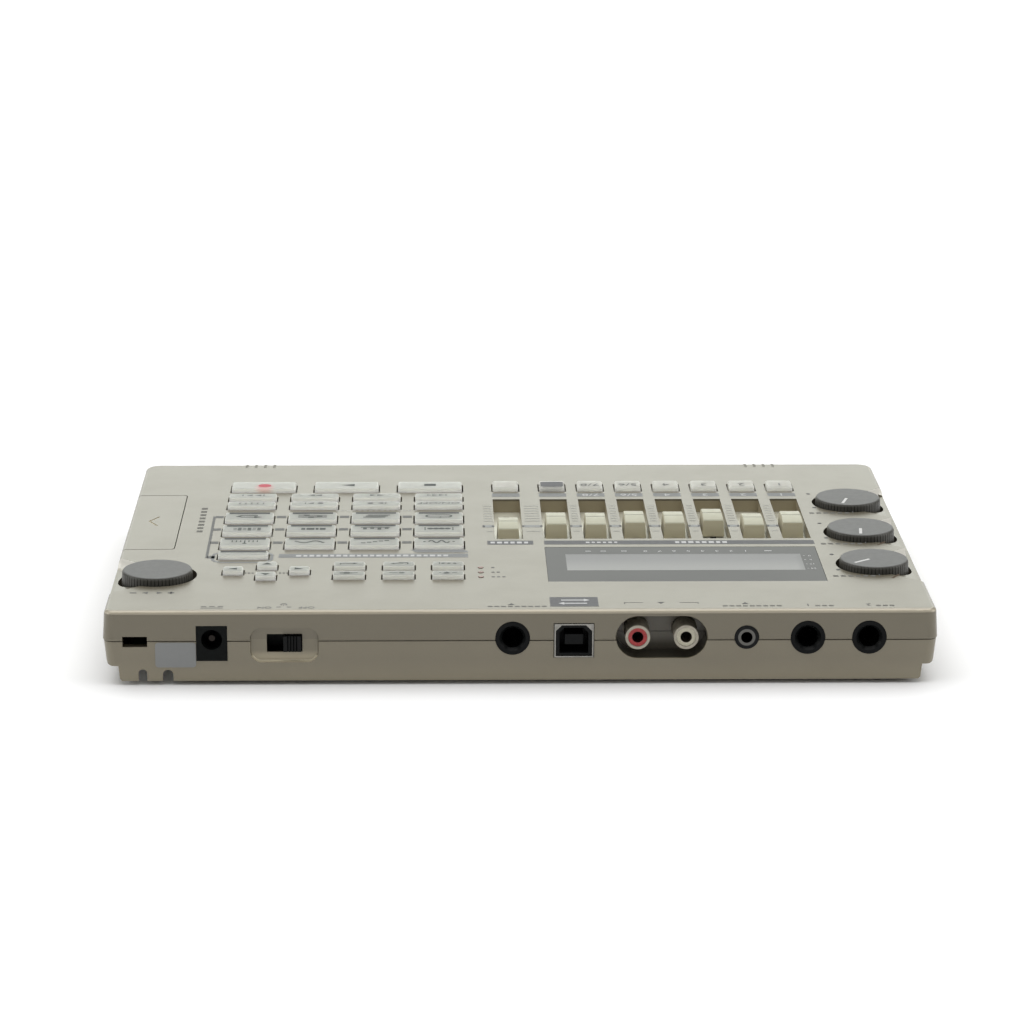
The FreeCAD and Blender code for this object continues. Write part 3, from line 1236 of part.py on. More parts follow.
# ---------------------------------------------------------------- write
doc.recompute()
bad = [o.Name for o in doc.Objects
       if "Invalid" in o.State or "Error" in o.State]
assert not bad, "failed objects: %s" % bad
names = [o.Label for o in NODES]
assert len(set(names)) == len(names) <= 60, len(names)
for o in NODES:
    shape = o.Shape
    assert not shape.isNull() and shape.isValid(), o.Label
    assert shape.Volume > 0 and shape.Solids, o.Label
os.makedirs("parts", exist_ok=True)
for o in NODES:
    o.Shape.exportStep("parts/%s.step" % o.Label)
    print("%-22s solids %2d  volume %10.2f" % (o.Label, len(o.Shape.Solids),
                                               o.Shape.Volume))
print(len(NODES), "nodes")
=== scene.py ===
import math

import bmesh
import bpy
from mathutils import Matrix, Vector


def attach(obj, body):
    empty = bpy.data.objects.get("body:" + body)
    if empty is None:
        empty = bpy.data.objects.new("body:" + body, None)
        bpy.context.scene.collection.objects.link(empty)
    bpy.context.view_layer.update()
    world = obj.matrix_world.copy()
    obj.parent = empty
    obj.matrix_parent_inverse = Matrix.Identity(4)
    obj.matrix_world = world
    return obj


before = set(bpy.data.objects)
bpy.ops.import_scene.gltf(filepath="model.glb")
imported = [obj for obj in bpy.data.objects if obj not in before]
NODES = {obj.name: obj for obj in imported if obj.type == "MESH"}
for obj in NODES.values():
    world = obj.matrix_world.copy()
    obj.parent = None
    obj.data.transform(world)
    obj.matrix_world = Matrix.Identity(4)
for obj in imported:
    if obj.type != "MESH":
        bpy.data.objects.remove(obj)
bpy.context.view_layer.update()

MM = 0.001
TOP = 24.0          # top surface of the case, mm
KEY_TOP = 25.5      # top of the keys, mm

for obj in NODES.values():
    obj.data.materials.clear()


# ------------------------------------------------------------ materials
def lin(r, g, b):
    """Screen colour, 0 to 255, as linear light."""
    out = []
    for c in (r, g, b):
        c /= 255.0
        out.append(c / 12.92 if c <= 0.04045 else ((c + 0.055) / 1.055) ** 2.4)
    return tuple(out) + (1.0,)


def tint(colour, k):
    return tuple(min(1.0, c * k) for c in colour[:3]) + (1.0,)


class Finish:
    """A material made of nodes, in millimetres of the object's own frame."""

    def __init__(self, name, rough=0.45, metallic=0.0, specular=0.5,
                 coat=0.0, coat_rough=0.1, subsurface=0.0, reach=0.001,
                 transmission=0.0):
        self.mat = bpy.data.materials.new(name)
        self.mat.use_nodes = True
        self.nodes = self.mat.node_tree.nodes
        self.links = self.mat.node_tree.links
        self.nodes.clear()
        out = self.nodes.new("ShaderNodeOutputMaterial")
        self.bsdf = self.nodes.new("ShaderNodeBsdfPrincipled")
        self.links.new(self.bsdf.outputs[0], out.inputs[0])
        b = self.bsdf.inputs
        b["Roughness"].default_value = rough
        b["Metallic"].default_value = metallic
        b["Specular IOR Level"].default_value = specular
        b["Coat Weight"].default_value = coat
        b["Coat Roughness"].default_value = coat_rough
        b["Subsurface Weight"].default_value = subsurface
        b["Subsurface Radius"].default_value = (reach, reach, reach)
        b["Subsurface Scale"].default_value = 1.0
        b["Transmission Weight"].default_value = transmission
        tex = self.nodes.new("ShaderNodeTexCoord")
        scale = self.nodes.new("ShaderNodeVectorMath")
        scale.operation = "SCALE"
        scale.inputs["Scale"].default_value = 1000.0
        self.links.new(tex.outputs["Object"], scale.inputs[0])
        self.place = scale.outputs[0]
        self._xyz = None

    def put(self, socket, value):
        if hasattr(value, "is_output"):
            self.links.new(value, socket)
        else:
            socket.default_value = value

    def math(self, op, a, b=0.0, c=None, clamp=False):
        n = self.nodes.new("ShaderNodeMath")
        n.operation = op
        n.use_clamp = clamp
        self.put(n.inputs[0], a)
        self.put(n.inputs[1], b)
        if c is not None:
            self.put(n.inputs[2], c)
        return n.outputs[0]

    def xyz(self):
        if self._xyz is None:
            n = self.nodes.new("ShaderNodeSeparateXYZ")
            self.links.new(self.place, n.inputs[0])
            self._xyz = n.outputs
        return self._xyz

    def normal_z(self):
        geo = self.nodes.new("ShaderNodeNewGeometry")
        n = self.nodes.new("ShaderNodeSeparateXYZ")
        self.links.new(geo.outputs["True Normal"], n.inputs[0])
        return n.outputs[2]

    def soft(self, axis):
        """Part of the smooth normal along an axis, 0 to 2."""
        geo = self.nodes.new("ShaderNodeNewGeometry")
        n = self.nodes.new("ShaderNodeSeparateXYZ")
        self.links.new(geo.outputs["Normal"], n.inputs[0])
        return n.outputs[axis]

    def soft_z(self):
        """Upward part of the smooth normal."""
        return self.soft(2)

    def both(self, *parts):
        out = parts[0]
        for p in parts[1:]:
            out = self.math("MULTIPLY", out, p)
        return out

    def box(self, x=None, y=None, z=None, soft=0.2):
        """One inside a box of the frame, with a soft edge."""
        s = self.xyz()
        parts = []
        for value, pair in zip(s, (x, y, z)):
            if pair:
                parts.append(self.span(value, pair[0] - soft, pair[0] + soft))
                parts.append(self.span(value, pair[1] + soft, pair[1] - soft))
        return self.both(*parts)

    def noise(self, scale, detail=3.0, rough=0.5, stretch=None):
        n = self.nodes.new("ShaderNodeTexNoise")
        n.inputs["Scale"].default_value = scale
        n.inputs["Detail"].default_value = detail
        n.inputs["Roughness"].default_value = rough
        src = self.place
        if stretch:
            m = self.nodes.new("ShaderNodeVectorMath")
            m.operation = "MULTIPLY"
            self.links.new(src, m.inputs[0])
            m.inputs[1].default_value = stretch
            src = m.outputs[0]
        self.links.new(src, n.inputs["Vector"])
        return n.outputs["Fac"]

    def cells(self, scale):
        n = self.nodes.new("ShaderNodeTexVoronoi")
        n.inputs["Scale"].default_value = scale
        self.links.new(self.place, n.inputs["Vector"])
        return n.outputs["Color"]

    def span(self, value, a, b, c=0.0, d=1.0, smooth=True):
        n = self.nodes.new("ShaderNodeMapRange")
        n.interpolation_type = "SMOOTHSTEP" if smooth else "LINEAR"
        self.put(n.inputs["Value"], value)
        n.inputs["From Min"].default_value = a
        n.inputs["From Max"].default_value = b
        n.inputs["To Min"].default_value = c
        n.inputs["To Max"].default_value = d
        return n.outputs["Result"]

    def mix(self, fac, a, b):
        n = self.nodes.new("ShaderNodeMix")
        n.data_type = "RGBA"
        self.put(n.inputs[0], fac)
        self.put(n.inputs[6], a)
        self.put(n.inputs[7], b)
        return n.outputs[2]

    def colour(self, value):
        self.put(self.bsdf.inputs["Base Color"], value)
        return self

    def roughness(self, value):
        self.put(self.bsdf.inputs["Roughness"], value)
        return self

    def bump(self, *layers):
        """Layers of (height, strength, depth in mm)."""
        last = None
        for height, strength, depth in layers:
            n = self.nodes.new("ShaderNodeBump")
            n.inputs["Strength"].default_value = strength
            n.inputs["Distance"].default_value = depth * MM
            self.links.new(height, n.inputs["Height"])
            if last is not None:
                self.links.new(last, n.inputs["Normal"])
            last = n.outputs[0]
        self.links.new(last, self.bsdf.inputs["Normal"])
        return self

    def radial(self, x, z):
        """Distance in the X-Z plane from an axis that runs along Y."""
        s = self.xyz()
        a = self.math("SUBTRACT", s[0], x)
        b = self.math("SUBTRACT", s[2], z)
        return self.math("SQRT", self.math(
            "ADD", self.math("MULTIPLY", a, a), self.math("MULTIPLY", b, b)))

    def round(self, x, y):
        """Distance in the X-Y plane from an upright axis."""
        s = self.xyz()
        a = self.math("SUBTRACT", s[0], x)
        b = self.math("SUBTRACT", s[1], y)
        return self.math("SQRT", self.math(
            "ADD", self.math("MULTIPLY", a, a), self.math("MULTIPLY", b, b)))


def worn_edges(f, amount=0.5, width=0.35):
    """Share of rubbed paint on the sharp edges, broken up by noise."""
    bevel = f.nodes.new("ShaderNodeBevel")
    bevel.samples = 4
    bevel.inputs["Radius"].default_value = width * MM
    geo = f.nodes.new("ShaderNodeNewGeometry")
    dot = f.nodes.new("ShaderNodeVectorMath")
    dot.operation = "DOT_PRODUCT"
    f.links.new(bevel.outputs[0], dot.inputs[0])
    f.links.new(geo.outputs["Normal"], dot.inputs[1])
    edge = f.span(dot.outputs["Value"], 0.985, 0.86)
    broken = f.span(f.noise(0.35, 5.0, 0.65), 0.46, 0.62)
    return f.math("MULTIPLY", f.math("MULTIPLY", edge, broken), amount,
                  clamp=True)


PAINT = (0.150, 0.132, 0.092, 1.0)


def paint(name, base, rough=0.40, metallic=0.42, wear=0.35, inside=None):
    """Satin champagne paint: fine flake, faint orange peel, painted highlights on
    the shoulder and in the finger dips, a duller handled side in the dips.
    """
    f = Finish(name, rough=rough, metallic=metallic, specular=0.5,
               coat=0.58, coat_rough=0.22)
    cloud = f.span(f.noise(0.018, 3.0), 0.3, 0.7)
    up = f.soft_z()
    s = f.xyz()
    flake = f.cells(6.0)
    grey = f.nodes.new("ShaderNodeRGBToBW")
    f.links.new(flake, grey.inputs[0])
    body = f.mix(cloud, tint(base, 0.985), tint(base, 1.015))
    speck = f.span(grey.outputs[0], 0.15, 0.85, 0.0, 1.0)
    body = f.mix(f.math("MULTIPLY", speck, 0.10), body, tint(base, 1.35))
    edge = worn_edges(f, wear)
    body = f.mix(edge, body, tint(base, 1.28))
    # painted highlight: paler base on the rounded shoulder, paler still where it
    # curves down steeply
    rear = f.soft(1)
    curved = f.both(f.span(up, 0.15, 0.40), f.span(up, 0.9995, 0.975),
                    f.span(s[2], 20.9, 21.6), f.span(rear, 0.01, 0.10))
    body = f.mix(curved, body, (0.34, 0.31, 0.245, 1))
    steep = f.both(f.span(up, 0.20, 0.45), f.span(up, 0.92, 0.75),
                   f.span(s[2], 20.9, 21.6), f.span(rear, 0.10, 0.40))
    body = f.mix(steep, body, (0.42, 0.375, 0.285, 1))
    # painted highlight: the ramps of the finger dips that face the rear are painted
    # much paler
    dips = f.both(f.span(f.math("ABSOLUTE", s[0]), 117.0, 118.5),
                  f.span(s[2], 19.0, 20.0),
                  f.span(f.math("ABSOLUTE", s[1]), 84.0, 82.5),
                  f.span(up, 0.30, 0.50), f.span(up, 0.985, 0.95),
                  f.span(f.soft(1), 0.08, 0.25))
    body = f.mix(dips, body, (0.62, 0.60, 0.54, 1))
    # handled side of the dips: the lacquer is worn dull there
    dull = f.both(f.span(f.math("ABSOLUTE", s[0]), 117.0, 118.5),
                  f.span(s[2], 19.0, 20.0),
                  f.span(f.math("ABSOLUTE", s[1]), 84.0, 82.5),
                  f.span(rear, -0.03, -0.10))
    body = f.mix(dull, body, tint(base, 0.80))
    f.put(f.bsdf.inputs["Coat Weight"], f.span(dull, 0.0, 1.0, 0.58, 0.02))
    f.put(f.bsdf.inputs["Specular IOR Level"],
          f.span(dull, 0.0, 1.0, 0.5, 0.12))
    f.put(f.bsdf.inputs["Metallic"], f.span(dull, 0.0, 1.0, metallic, 0.1))
    if inside:
        body = inside(f, body, up)
    f.colour(body)
    smudge = f.span(f.noise(0.045, 5.0, 0.62), 0.35, 0.72,
                    rough - 0.02, rough + 0.03)
    fine = f.math("MULTIPLY", f.noise(3.0, 2.0), 0.05)
    f.roughness(f.math("ADD", smudge, fine))
    f.bump((f.noise(5.5, 2.0, 0.5), 0.10, 0.02),
           (f.noise(0.8, 2.0, 0.5), 0.06, 0.05))
    return f


def plastic(name, base, rough=0.45, vary=0.05, grain=4.0, depth=0.02,
            strength=0.15, **kw):
    """Moulded plastic with a fine spark-eroded grain."""
    f = Finish(name, rough=rough, **kw)
    f.colour(f.mix(f.span(f.noise(0.06, 4.0), 0.3, 0.7),
                   tint(base, 1 - vary), tint(base, 1 + vary)))
    f.roughness(f.span(f.noise(0.5, 4.0, 0.6), 0.3, 0.7,
                       max(0.02, rough - 0.06), min(1.0, rough + 0.08)))
    f.bump((f.noise(grain, 3.0, 0.6), strength, depth))
    return f


def metal(name, base, rough=0.28, brushed=None):
    f = Finish(name, rough=rough, metallic=1.0)
    f.colour(f.mix(f.span(f.noise(0.4, 4.0), 0.3, 0.7),
                   tint(base, 0.86), tint(base, 1.06)))
    f.roughness(f.span(f.noise(1.2, 4.0, 0.6), 0.3, 0.75,
                       max(0.05, rough - 0.08), rough + 0.14))
    f.bump((f.noise(6.0, 2.0, 0.5, brushed), 0.12, 0.01))
    return f


def give(finish, *names):
    for n in names:
        NODES[n].data.materials.clear()
        NODES[n].data.materials.append(finish.mat)




def top_inside(f, body, up):
    """Pale fader wells painted lighter to lift their shade, and painted shade in
    the phono pocket.
    """
    # painted light: pale base in the fader wells, paler on the up-facing floor than
    # on the walls
    wells = f.box((-99.0, 10.6), (-44.0, 11.0), (10.0, 23.3), 0.1)
    floor = f.span(up, 0.5, 0.75)
    wells_painted_light = f.mix(floor, (0.37, 0.32, 0.22, 1), (0.67, 0.66, 0.55, 1))
    body = f.mix(wells, body, wells_painted_light)
    return pocket(f, body, up)


def pocket(f, body, up):
    # painted shade: the inside of the phono pocket is painted darker
    inner = f.box((-62.0, -25.0), (70.0, 87.3), (7.0, 22.4), 0.1)
    return f.mix(f.math("MULTIPLY", inner, 0.85), body, tint(PAINT, 0.42))


def bottom_inside(f, body, up):
    """Phono pocket with a painted highlight on its lip, and the cord channel
    painted light.
    """
    # painted light: the cord channel is painted near white, lifting its shade
    channel = f.box((104.0, 121.5), (60.0, 87.2), (-1.0, 5.6), 0.1)
    body = f.mix(channel, body, (0.86, 0.85, 0.82, 1))
    # painted highlight on the up-facing lower lip of the phono pocket
    lip = f.both(f.box((-62.0, -25.0), (87.2, 88.1), (7.0, 11.0), 0.1),
                 f.span(up, 0.25, 0.5))
    body = f.mix(lip, body, tint(PAINT, 2.2))
    # painted light: the lower side of the hollow round the power switch grows paler
    # towards its foot
    s = f.xyz()
    hollow = f.both(f.box((62.0, 85.0), (85.0, 87.3), (7.0, 14.6), 0.1),
                    f.span(s[2], 11.2, 8.6))
    body = f.mix(hollow, body, tint(PAINT, 2.2))
    # painted highlight on the up-facing ledge below the switch hollow
    ledge = f.both(f.box((61.0, 86.0), (85.0, 88.35), (5.0, 9.4), 0.1),
                   f.span(up, 0.15, 0.45))
    body = f.mix(ledge, body, (0.66, 0.60, 0.45, 1))
    # painted light from the table: paler paint towards the bottom of the rear face
    body = f.mix(f.both(f.span(s[2], 9.0, 0.5), f.span(s[1], 80.0, 86.0)),
                 body, tint(PAINT, 1.62))
    return pocket(f, body, up)


def cover_inside(f, body, up):
    # painted light: the engraved mark is painted much paler, lifting the shade in
    # its groove
    mark = f.both(f.box((118.0, 127.0), (-22.0, -6.0), (23.2, 23.93), 0.02))
    return f.mix(mark, body, tint(PAINT, 3.6))


give(paint("case_paint_top", PAINT, inside=top_inside), "top_case")
# painted light: the lower shell takes a lighter copy of the top paint, standing in
# for light thrown up from the floor
give(paint("case_paint_bottom", tint(PAINT, 1.22), rough=0.44,
           inside=bottom_inside), "bottom_case")
give(paint("case_paint_cover", PAINT, inside=cover_inside), "card_cover")
give(paint("hatch_paint", PAINT, rough=0.5, wear=0.5), "battery_cover")

KEY = (0.45, 0.46, 0.42, 1.0)


def key_finish(name, base, glow=None, side=1.0):
    f = Finish(name, rough=0.44, specular=0.12, subsurface=1.0, reach=0.006)
    body = f.mix(f.span(f.noise(0.12, 3.0), 0.3, 0.7),
                 tint(base, 0.96), tint(base, 1.03))
    shine = f.span(f.noise(0.35, 4.0, 0.6), 0.4, 0.7)
    s = f.xyz()
    # painted light: milky flanks painted paler than the top, palest at the foot,
    # standing in for light let through
    flank = f.span(f.soft_z(), 0.95, 0.50)
    foot = f.span(s[2], 25.35, 24.3, smooth=False)
    body = f.mix(flank, body, f.mix(
        foot, tint((0.55, 0.555, 0.50, 1), side),
        tint((0.96, 0.955, 0.85, 1), side)))
    # flank a little darker where it meets the case
    low = f.span(s[2], 24.0, 23.4)
    body = f.mix(f.math("MULTIPLY", low, 0.20), body,
                 tint(lin(150, 146, 128), 0.8))
    if glow:
        x, y = glow
        # painted glow: the key is painted pinker round its mark, lit by no lamp
        d = f.math("SQRT", f.math("ADD", f.math("POWER", f.math(
            "DIVIDE", f.math("SUBTRACT", s[0], x), 3.4), 2.0), f.math(
                "POWER", f.math("DIVIDE", f.math("SUBTRACT", s[1], y), 4.4),
                2.0)))
        body = f.mix(f.math("MULTIPLY", f.span(d, 1.25, 0.3), 0.30), body,
                     lin(255, 120, 120))
    f.colour(body)
    f.roughness(f.span(shine, 0.0, 1.0, 0.36, 0.50))
    f.bump((f.noise(4.5, 2.0, 0.5), 0.08, 0.02))
    return f


give(key_finish("key_white", tint(KEY, 0.86)), "play_key", "stop_key")
give(key_finish("key_record", tint(KEY, 0.86), glow=(85.6, -51.7)), "rec_key")
give(key_finish("key_slim", tint(KEY, 0.72), side=1.0), "locate_keys", "punch_keys",
     "cursor_left_key", "cursor_right_key", "cursor_up_key",
     "cursor_down_key")
give(key_finish("key_mode", tint(KEY, 0.58), side=0.92), "mode_keys_upper",
     "mode_keys_lower")
give(key_finish("key_tall", tint(KEY, 0.66), side=1.0), "edit_keys", "rhythm_keys",
     "effect_keys", "pad_mode_key")
TRACKS = ["master", "rhythm", "7_8", "5_6", "4", "3", "2", "1"]
give(key_finish("key_pad", (0.395, 0.390, 0.350, 1.0), side=0.90),
     *["track_pad_" + t for t in TRACKS])

CAP = (0.425, 0.420, 0.320, 1.0)
cap = plastic("fader_ivory", CAP, rough=0.38, vary=0.03, grain=4.0,
              strength=0.08, subsurface=0.15, reach=0.0008, specular=0.3)
# painted light: the cap's flanks are painted paler than its top
flank = cap.span(cap.soft_z(), 0.7, 0.3)
cap.colour(cap.mix(flank, cap.mix(cap.span(cap.noise(0.06, 4.0), 0.3, 0.7),
                                  tint(CAP, 0.97), tint(CAP, 1.03)),
                   (0.66, 0.62, 0.46, 1)))
give(cap, *["fader_cap_" + t for t in TRACKS])

# knobs: dark rubbery skirt, paler face where it faces up, white line in its groove
knob = Finish("knob_grey", rough=0.44, specular=0.42)
s = knob.xyz()
flat = knob.span(knob.normal_z(), 0.80, 0.97)
face = knob.math("MULTIPLY", flat, knob.span(s[2], 26.02, 26.08))
deep = knob.math("MULTIPLY", knob.math("LESS_THAN", s[2], 26.135),
                 knob.math("GREATER_THAN", s[2], 25.80))
near = knob.math("MINIMUM", knob.round(-115.0, -35.5), knob.math(
    "MINIMUM", knob.round(-115.0, 1.9), knob.round(-115.0, 38.9)))
line = knob.math("MULTIPLY", deep, knob.math("LESS_THAN", near, 9.2))
cloud = knob.span(knob.noise(0.12, 4.0, 0.6), 0.3, 0.7)
disc = knob.mix(cloud, (0.079, 0.079, 0.079, 1), (0.083, 0.083, 0.082, 1))
skirt = knob.mix(cloud, lin(62, 61, 55), lin(72, 71, 65))
dust = knob.math("MULTIPLY", knob.span(knob.noise(1.6, 4.0, 0.7), 0.5, 0.8),
                 0.12)
dust = knob.math("MULTIPLY", dust, knob.math("SUBTRACT", 1.0, face))
tone = knob.mix(dust, knob.mix(face, skirt, disc), lin(120, 115, 104))
knob.colour(knob.mix(line, tone, lin(205, 205, 202)))
knob.roughness(knob.span(knob.noise(0.6, 4.0), 0.3, 0.7, 0.43, 0.47))
knob.bump((knob.noise(5.0, 2.0), 0.08, 0.015))
give(knob, "rec_level_knob", "mic_level_knob", "guitar_level_knob",
     "value_dial")

give(plastic("black_plastic", (0.0035, 0.004, 0.004, 1), rough=0.30,
             vary=0.15, strength=0.10, specular=0.10), "phone_jacks")
give(plastic("black_plastic_block", (0.0045, 0.005, 0.0045, 1), rough=0.42,
             vary=0.12, strength=0.2, specular=0.12), "power_switch_body")
slider = Finish("switch_slider_black", rough=0.40, specular=0.14)
slider.colour(slider.mix(slider.span(slider.noise(0.8), 0.3, 0.7),
                         (0.0045, 0.005, 0.005, 1), (0.006, 0.0066, 0.0066, 1)))
slider.roughness(slider.span(slider.noise(1.0, 4.0), 0.3, 0.7, 0.34, 0.48))
slider.bump((slider.math("SINE", slider.math("MULTIPLY", slider.xyz()[0],
                                             7.0)), 0.7, 0.18),
            (slider.noise(4.0, 2.0), 0.12, 0.02))
give(slider, "power_switch_knob")

mini = Finish("mini_jack_black", rough=0.28, specular=0.12)
r = mini.radial(-69.9, 15.1)
ring = mini.math("MULTIPLY", mini.span(r, 2.75, 2.62),
                 mini.span(mini.xyz()[1], 87.6, 87.9))
r2 = mini.radial(-76.0, 15.1)
ring2 = mini.math("MULTIPLY", mini.span(r2, 2.75, 2.62),
                  mini.span(mini.xyz()[1], -87.6, -87.9))
ring = mini.math("MAXIMUM", ring, ring2)
mini.colour(mini.mix(ring, mini.mix(mini.span(mini.noise(0.8), 0.3, 0.7),
                                    (0.004, 0.0045, 0.0045, 1),
                                    (0.0065, 0.007, 0.007, 1)),
                     (0.11, 0.108, 0.10, 1)))
mini.put(mini.bsdf.inputs["Metallic"], ring)
mini.bump((mini.noise(5.0, 2.0), 0.08, 0.02))
give(mini, "mini_jacks")

usb = Finish("usb_shell", rough=0.30, specular=0.12)
s = usb.xyz()
ax = usb.math("ABSOLUTE", usb.math("SUBTRACT", s[0], -16.3))
az = usb.math("ABSOLUTE", usb.math("SUBTRACT", s[2], 14.2))
core = usb.math("MULTIPLY", usb.math("LESS_THAN", ax, 5.625),
                usb.math("LESS_THAN", az, 4.975))
lug = usb.math("LESS_THAN", usb.math("ADD", ax, usb.math(
    "SUBTRACT", s[2], 14.2)), 8.6)
core = usb.math("MULTIPLY", core, lug)
usb.colour(usb.mix(core, usb.mix(usb.span(usb.noise(0.5, 4.0), 0.3, 0.7),
                                 (0.22, 0.215, 0.195, 1),
                                 (0.29, 0.28, 0.26, 1)),
                   usb.mix(usb.span(usb.noise(0.8), 0.3, 0.7),
                           (0.0035, 0.004, 0.0042, 1),
                           (0.0055, 0.006, 0.0063, 1))))
usb.put(usb.bsdf.inputs["Metallic"], usb.math("SUBTRACT", 1.0, core))
usb.roughness(usb.math("ADD", usb.math("MULTIPLY", core, 0.15), usb.span(
    usb.noise(1.0, 4.0), 0.3, 0.7, 0.22, 0.36)))
usb.bump((usb.noise(5.0, 2.0), 0.08, 0.02))
give(usb, "usb_socket")

phono = Finish("phono_shell", rough=0.38, metallic=0.55)
# painted reflection: the barrel behind the front face is painted much lighter than
# the face
face = phono.both(phono.span(phono.xyz()[1], 87.9, 88.3))
tone = phono.mix(face, (0.50, 0.46, 0.37, 1), (0.20, 0.19, 0.16, 1))
phono.colour(phono.mix(phono.math("MULTIPLY", phono.span(phono.noise(
    0.6, 4.0), 0.35, 0.75), 0.35), tone, (0.13, 0.115, 0.09, 1)))
phono.roughness(phono.span(phono.noise(1.2, 4.0, 0.6), 0.3, 0.75, 0.30, 0.46))
phono.bump((phono.noise(6.0, 2.0), 0.08, 0.01))
give(phono, "rca_shells")
rca = Finish("phono_plastic", rough=0.32, subsurface=0.1, reach=0.0006)
red = rca.math("GREATER_THAN", rca.xyz()[0], -43.5)
wear = rca.span(rca.noise(0.9, 4.0), 0.3, 0.7)
# painted shade: the bores are painted dark
bore = rca.math("LESS_THAN", rca.math("MINIMUM", rca.radial(
    -36.08, 15.1), rca.radial(-51.12, 15.1)), 1.80)
tone = rca.mix(red, rca.mix(wear, (0.44, 0.415, 0.315, 1),
                            (0.50, 0.475, 0.37, 1)),
               rca.mix(wear, lin(150, 32, 33), lin(166, 40, 39)))
rca.colour(rca.mix(bore, tone, rca.mix(red, lin(70, 62, 50),
                                       lin(62, 16, 16))))
rca.roughness(rca.span(rca.noise(1.5, 3.0), 0.3, 0.7, 0.26, 0.40))
rca.bump((rca.noise(4.0, 2.0), 0.08, 0.02))
give(rca, "rca_cores")

dc = Finish("dc_jack_black", rough=0.42, specular=0.06)
pin = dc.math("LESS_THAN", dc.radial(95.75, 14.75), 1.2)
dc.colour(dc.mix(pin, dc.mix(dc.span(dc.noise(0.7, 4.0), 0.3, 0.7),
                             (0.0055, 0.0062, 0.0058, 1),
                             (0.0070, 0.0082, 0.0076, 1)),
                 (0.032, 0.027, 0.024, 1)))
dc.put(dc.bsdf.inputs["Metallic"], dc.math("MULTIPLY", pin, 0.6))
dc.roughness(dc.span(dc.noise(1.2, 4.0), 0.3, 0.7, 0.36, 0.52))
dc.bump((dc.noise(4.0, 3.0), 0.15, 0.02))
give(dc, "dc_jack")

# display: printed sheet with a clear window over the cell
lens = Finish("lens_print", rough=0.16, specular=0.07)
s = lens.xyz()
wx = lens.math("MULTIPLY", lens.span(s[0], -92.5, -92.3),
               lens.span(s[0], -15.7, -15.9))
wy = lens.math("MULTIPLY", lens.span(s[1], 26.4, 26.6),
               lens.span(s[1], 44.9, 44.7))
window = lens.math("MULTIPLY", wx, wy)
# painted light: the window grows lighter away from its shadowed edge
fall = lens.span(s[1], 30.0, 44.0, smooth=True)
glass = lens.mix(fall, (0.182, 0.184, 0.185, 1), (0.250, 0.252, 0.245, 1))
# shadow of the printed edge on the cell below
rim_y = lens.span(s[1], 29.2, 26.8)
rim_x = lens.span(s[0], -90.0, -92.2)
rim = lens.math("MAXIMUM", rim_y, rim_x)
glass = lens.mix(lens.math("MULTIPLY", rim, 0.45), glass,
                 (0.135, 0.137, 0.137, 1))
grid = lens.math("MULTIPLY", lens.span(lens.noise(0.9, 2.0), 0.4, 0.7), 0.05)
glass = lens.mix(grid, glass, lin(104, 108, 106))
border = lens.mix(lens.span(lens.noise(0.03, 3.0), 0.3, 0.7),
                  (0.051, 0.051, 0.051, 1), (0.058, 0.058, 0.058, 1))
lens.colour(lens.mix(window, border, glass))
lens.roughness(lens.span(lens.noise(0.12, 5.0, 0.65), 0.4, 0.75, 0.10, 0.22))
lens.bump((lens.noise(0.05, 2.0), 0.03, 0.2))
give(lens, "display_window")

give(plastic("lcd_cell", lin(120, 126, 120), rough=0.3, vary=0.04),
     "lcd_module")
give(plastic("board_green", lin(34, 78, 52), rough=0.42, vary=0.2,
             grain=1.2, strength=0.3, depth=0.05), "main_board",
     "panel_board")
give(plastic("mat_grey", lin(62, 62, 60), rough=0.72, vary=0.1), "key_mat")
give(metal("steel", lin(158, 157, 153), rough=0.34), "fader_bodies",
     "pot_bodies", "card_socket", "battery_contacts",
     "mic_capsules")
give(metal("screw_zinc", lin(150, 149, 143), rough=0.30), "case_screws")

rubber = plastic("rubber", lin(38, 38, 37), rough=0.82, vary=0.2, grain=2.2,
                 strength=0.35, depth=0.05)
give(rubber, "rubber_feet")

lamp = Finish("lamp_red", rough=0.25, subsurface=0.2, reach=0.0008)
lamp.colour(lamp.mix(lamp.span(lamp.noise(1.2), 0.3, 0.7),
                     lin(106, 72, 62), lin(124, 86, 74)))
lamp.bump((lamp.noise(3.0, 2.0), 0.06, 0.02))
give(lamp, "indicator_leds")


# ------------------------------------------------------------ prints
def ink(name, colour, rough=0.6, vary=0.06):
    f = Finish(name, rough=rough, specular=0.03)
    f.colour(f.mix(f.span(f.noise(0.9, 4.0, 0.6), 0.3, 0.75),
                   tint(colour, 1 + vary), tint(colour, 1 - vary)))
    f.roughness(f.span(f.noise(2.5, 3.0), 0.3, 0.7, rough - 0.06,
                       rough + 0.08))
    f.bump((f.noise(7.0, 2.0), 0.10, 0.01))
    return f.mat


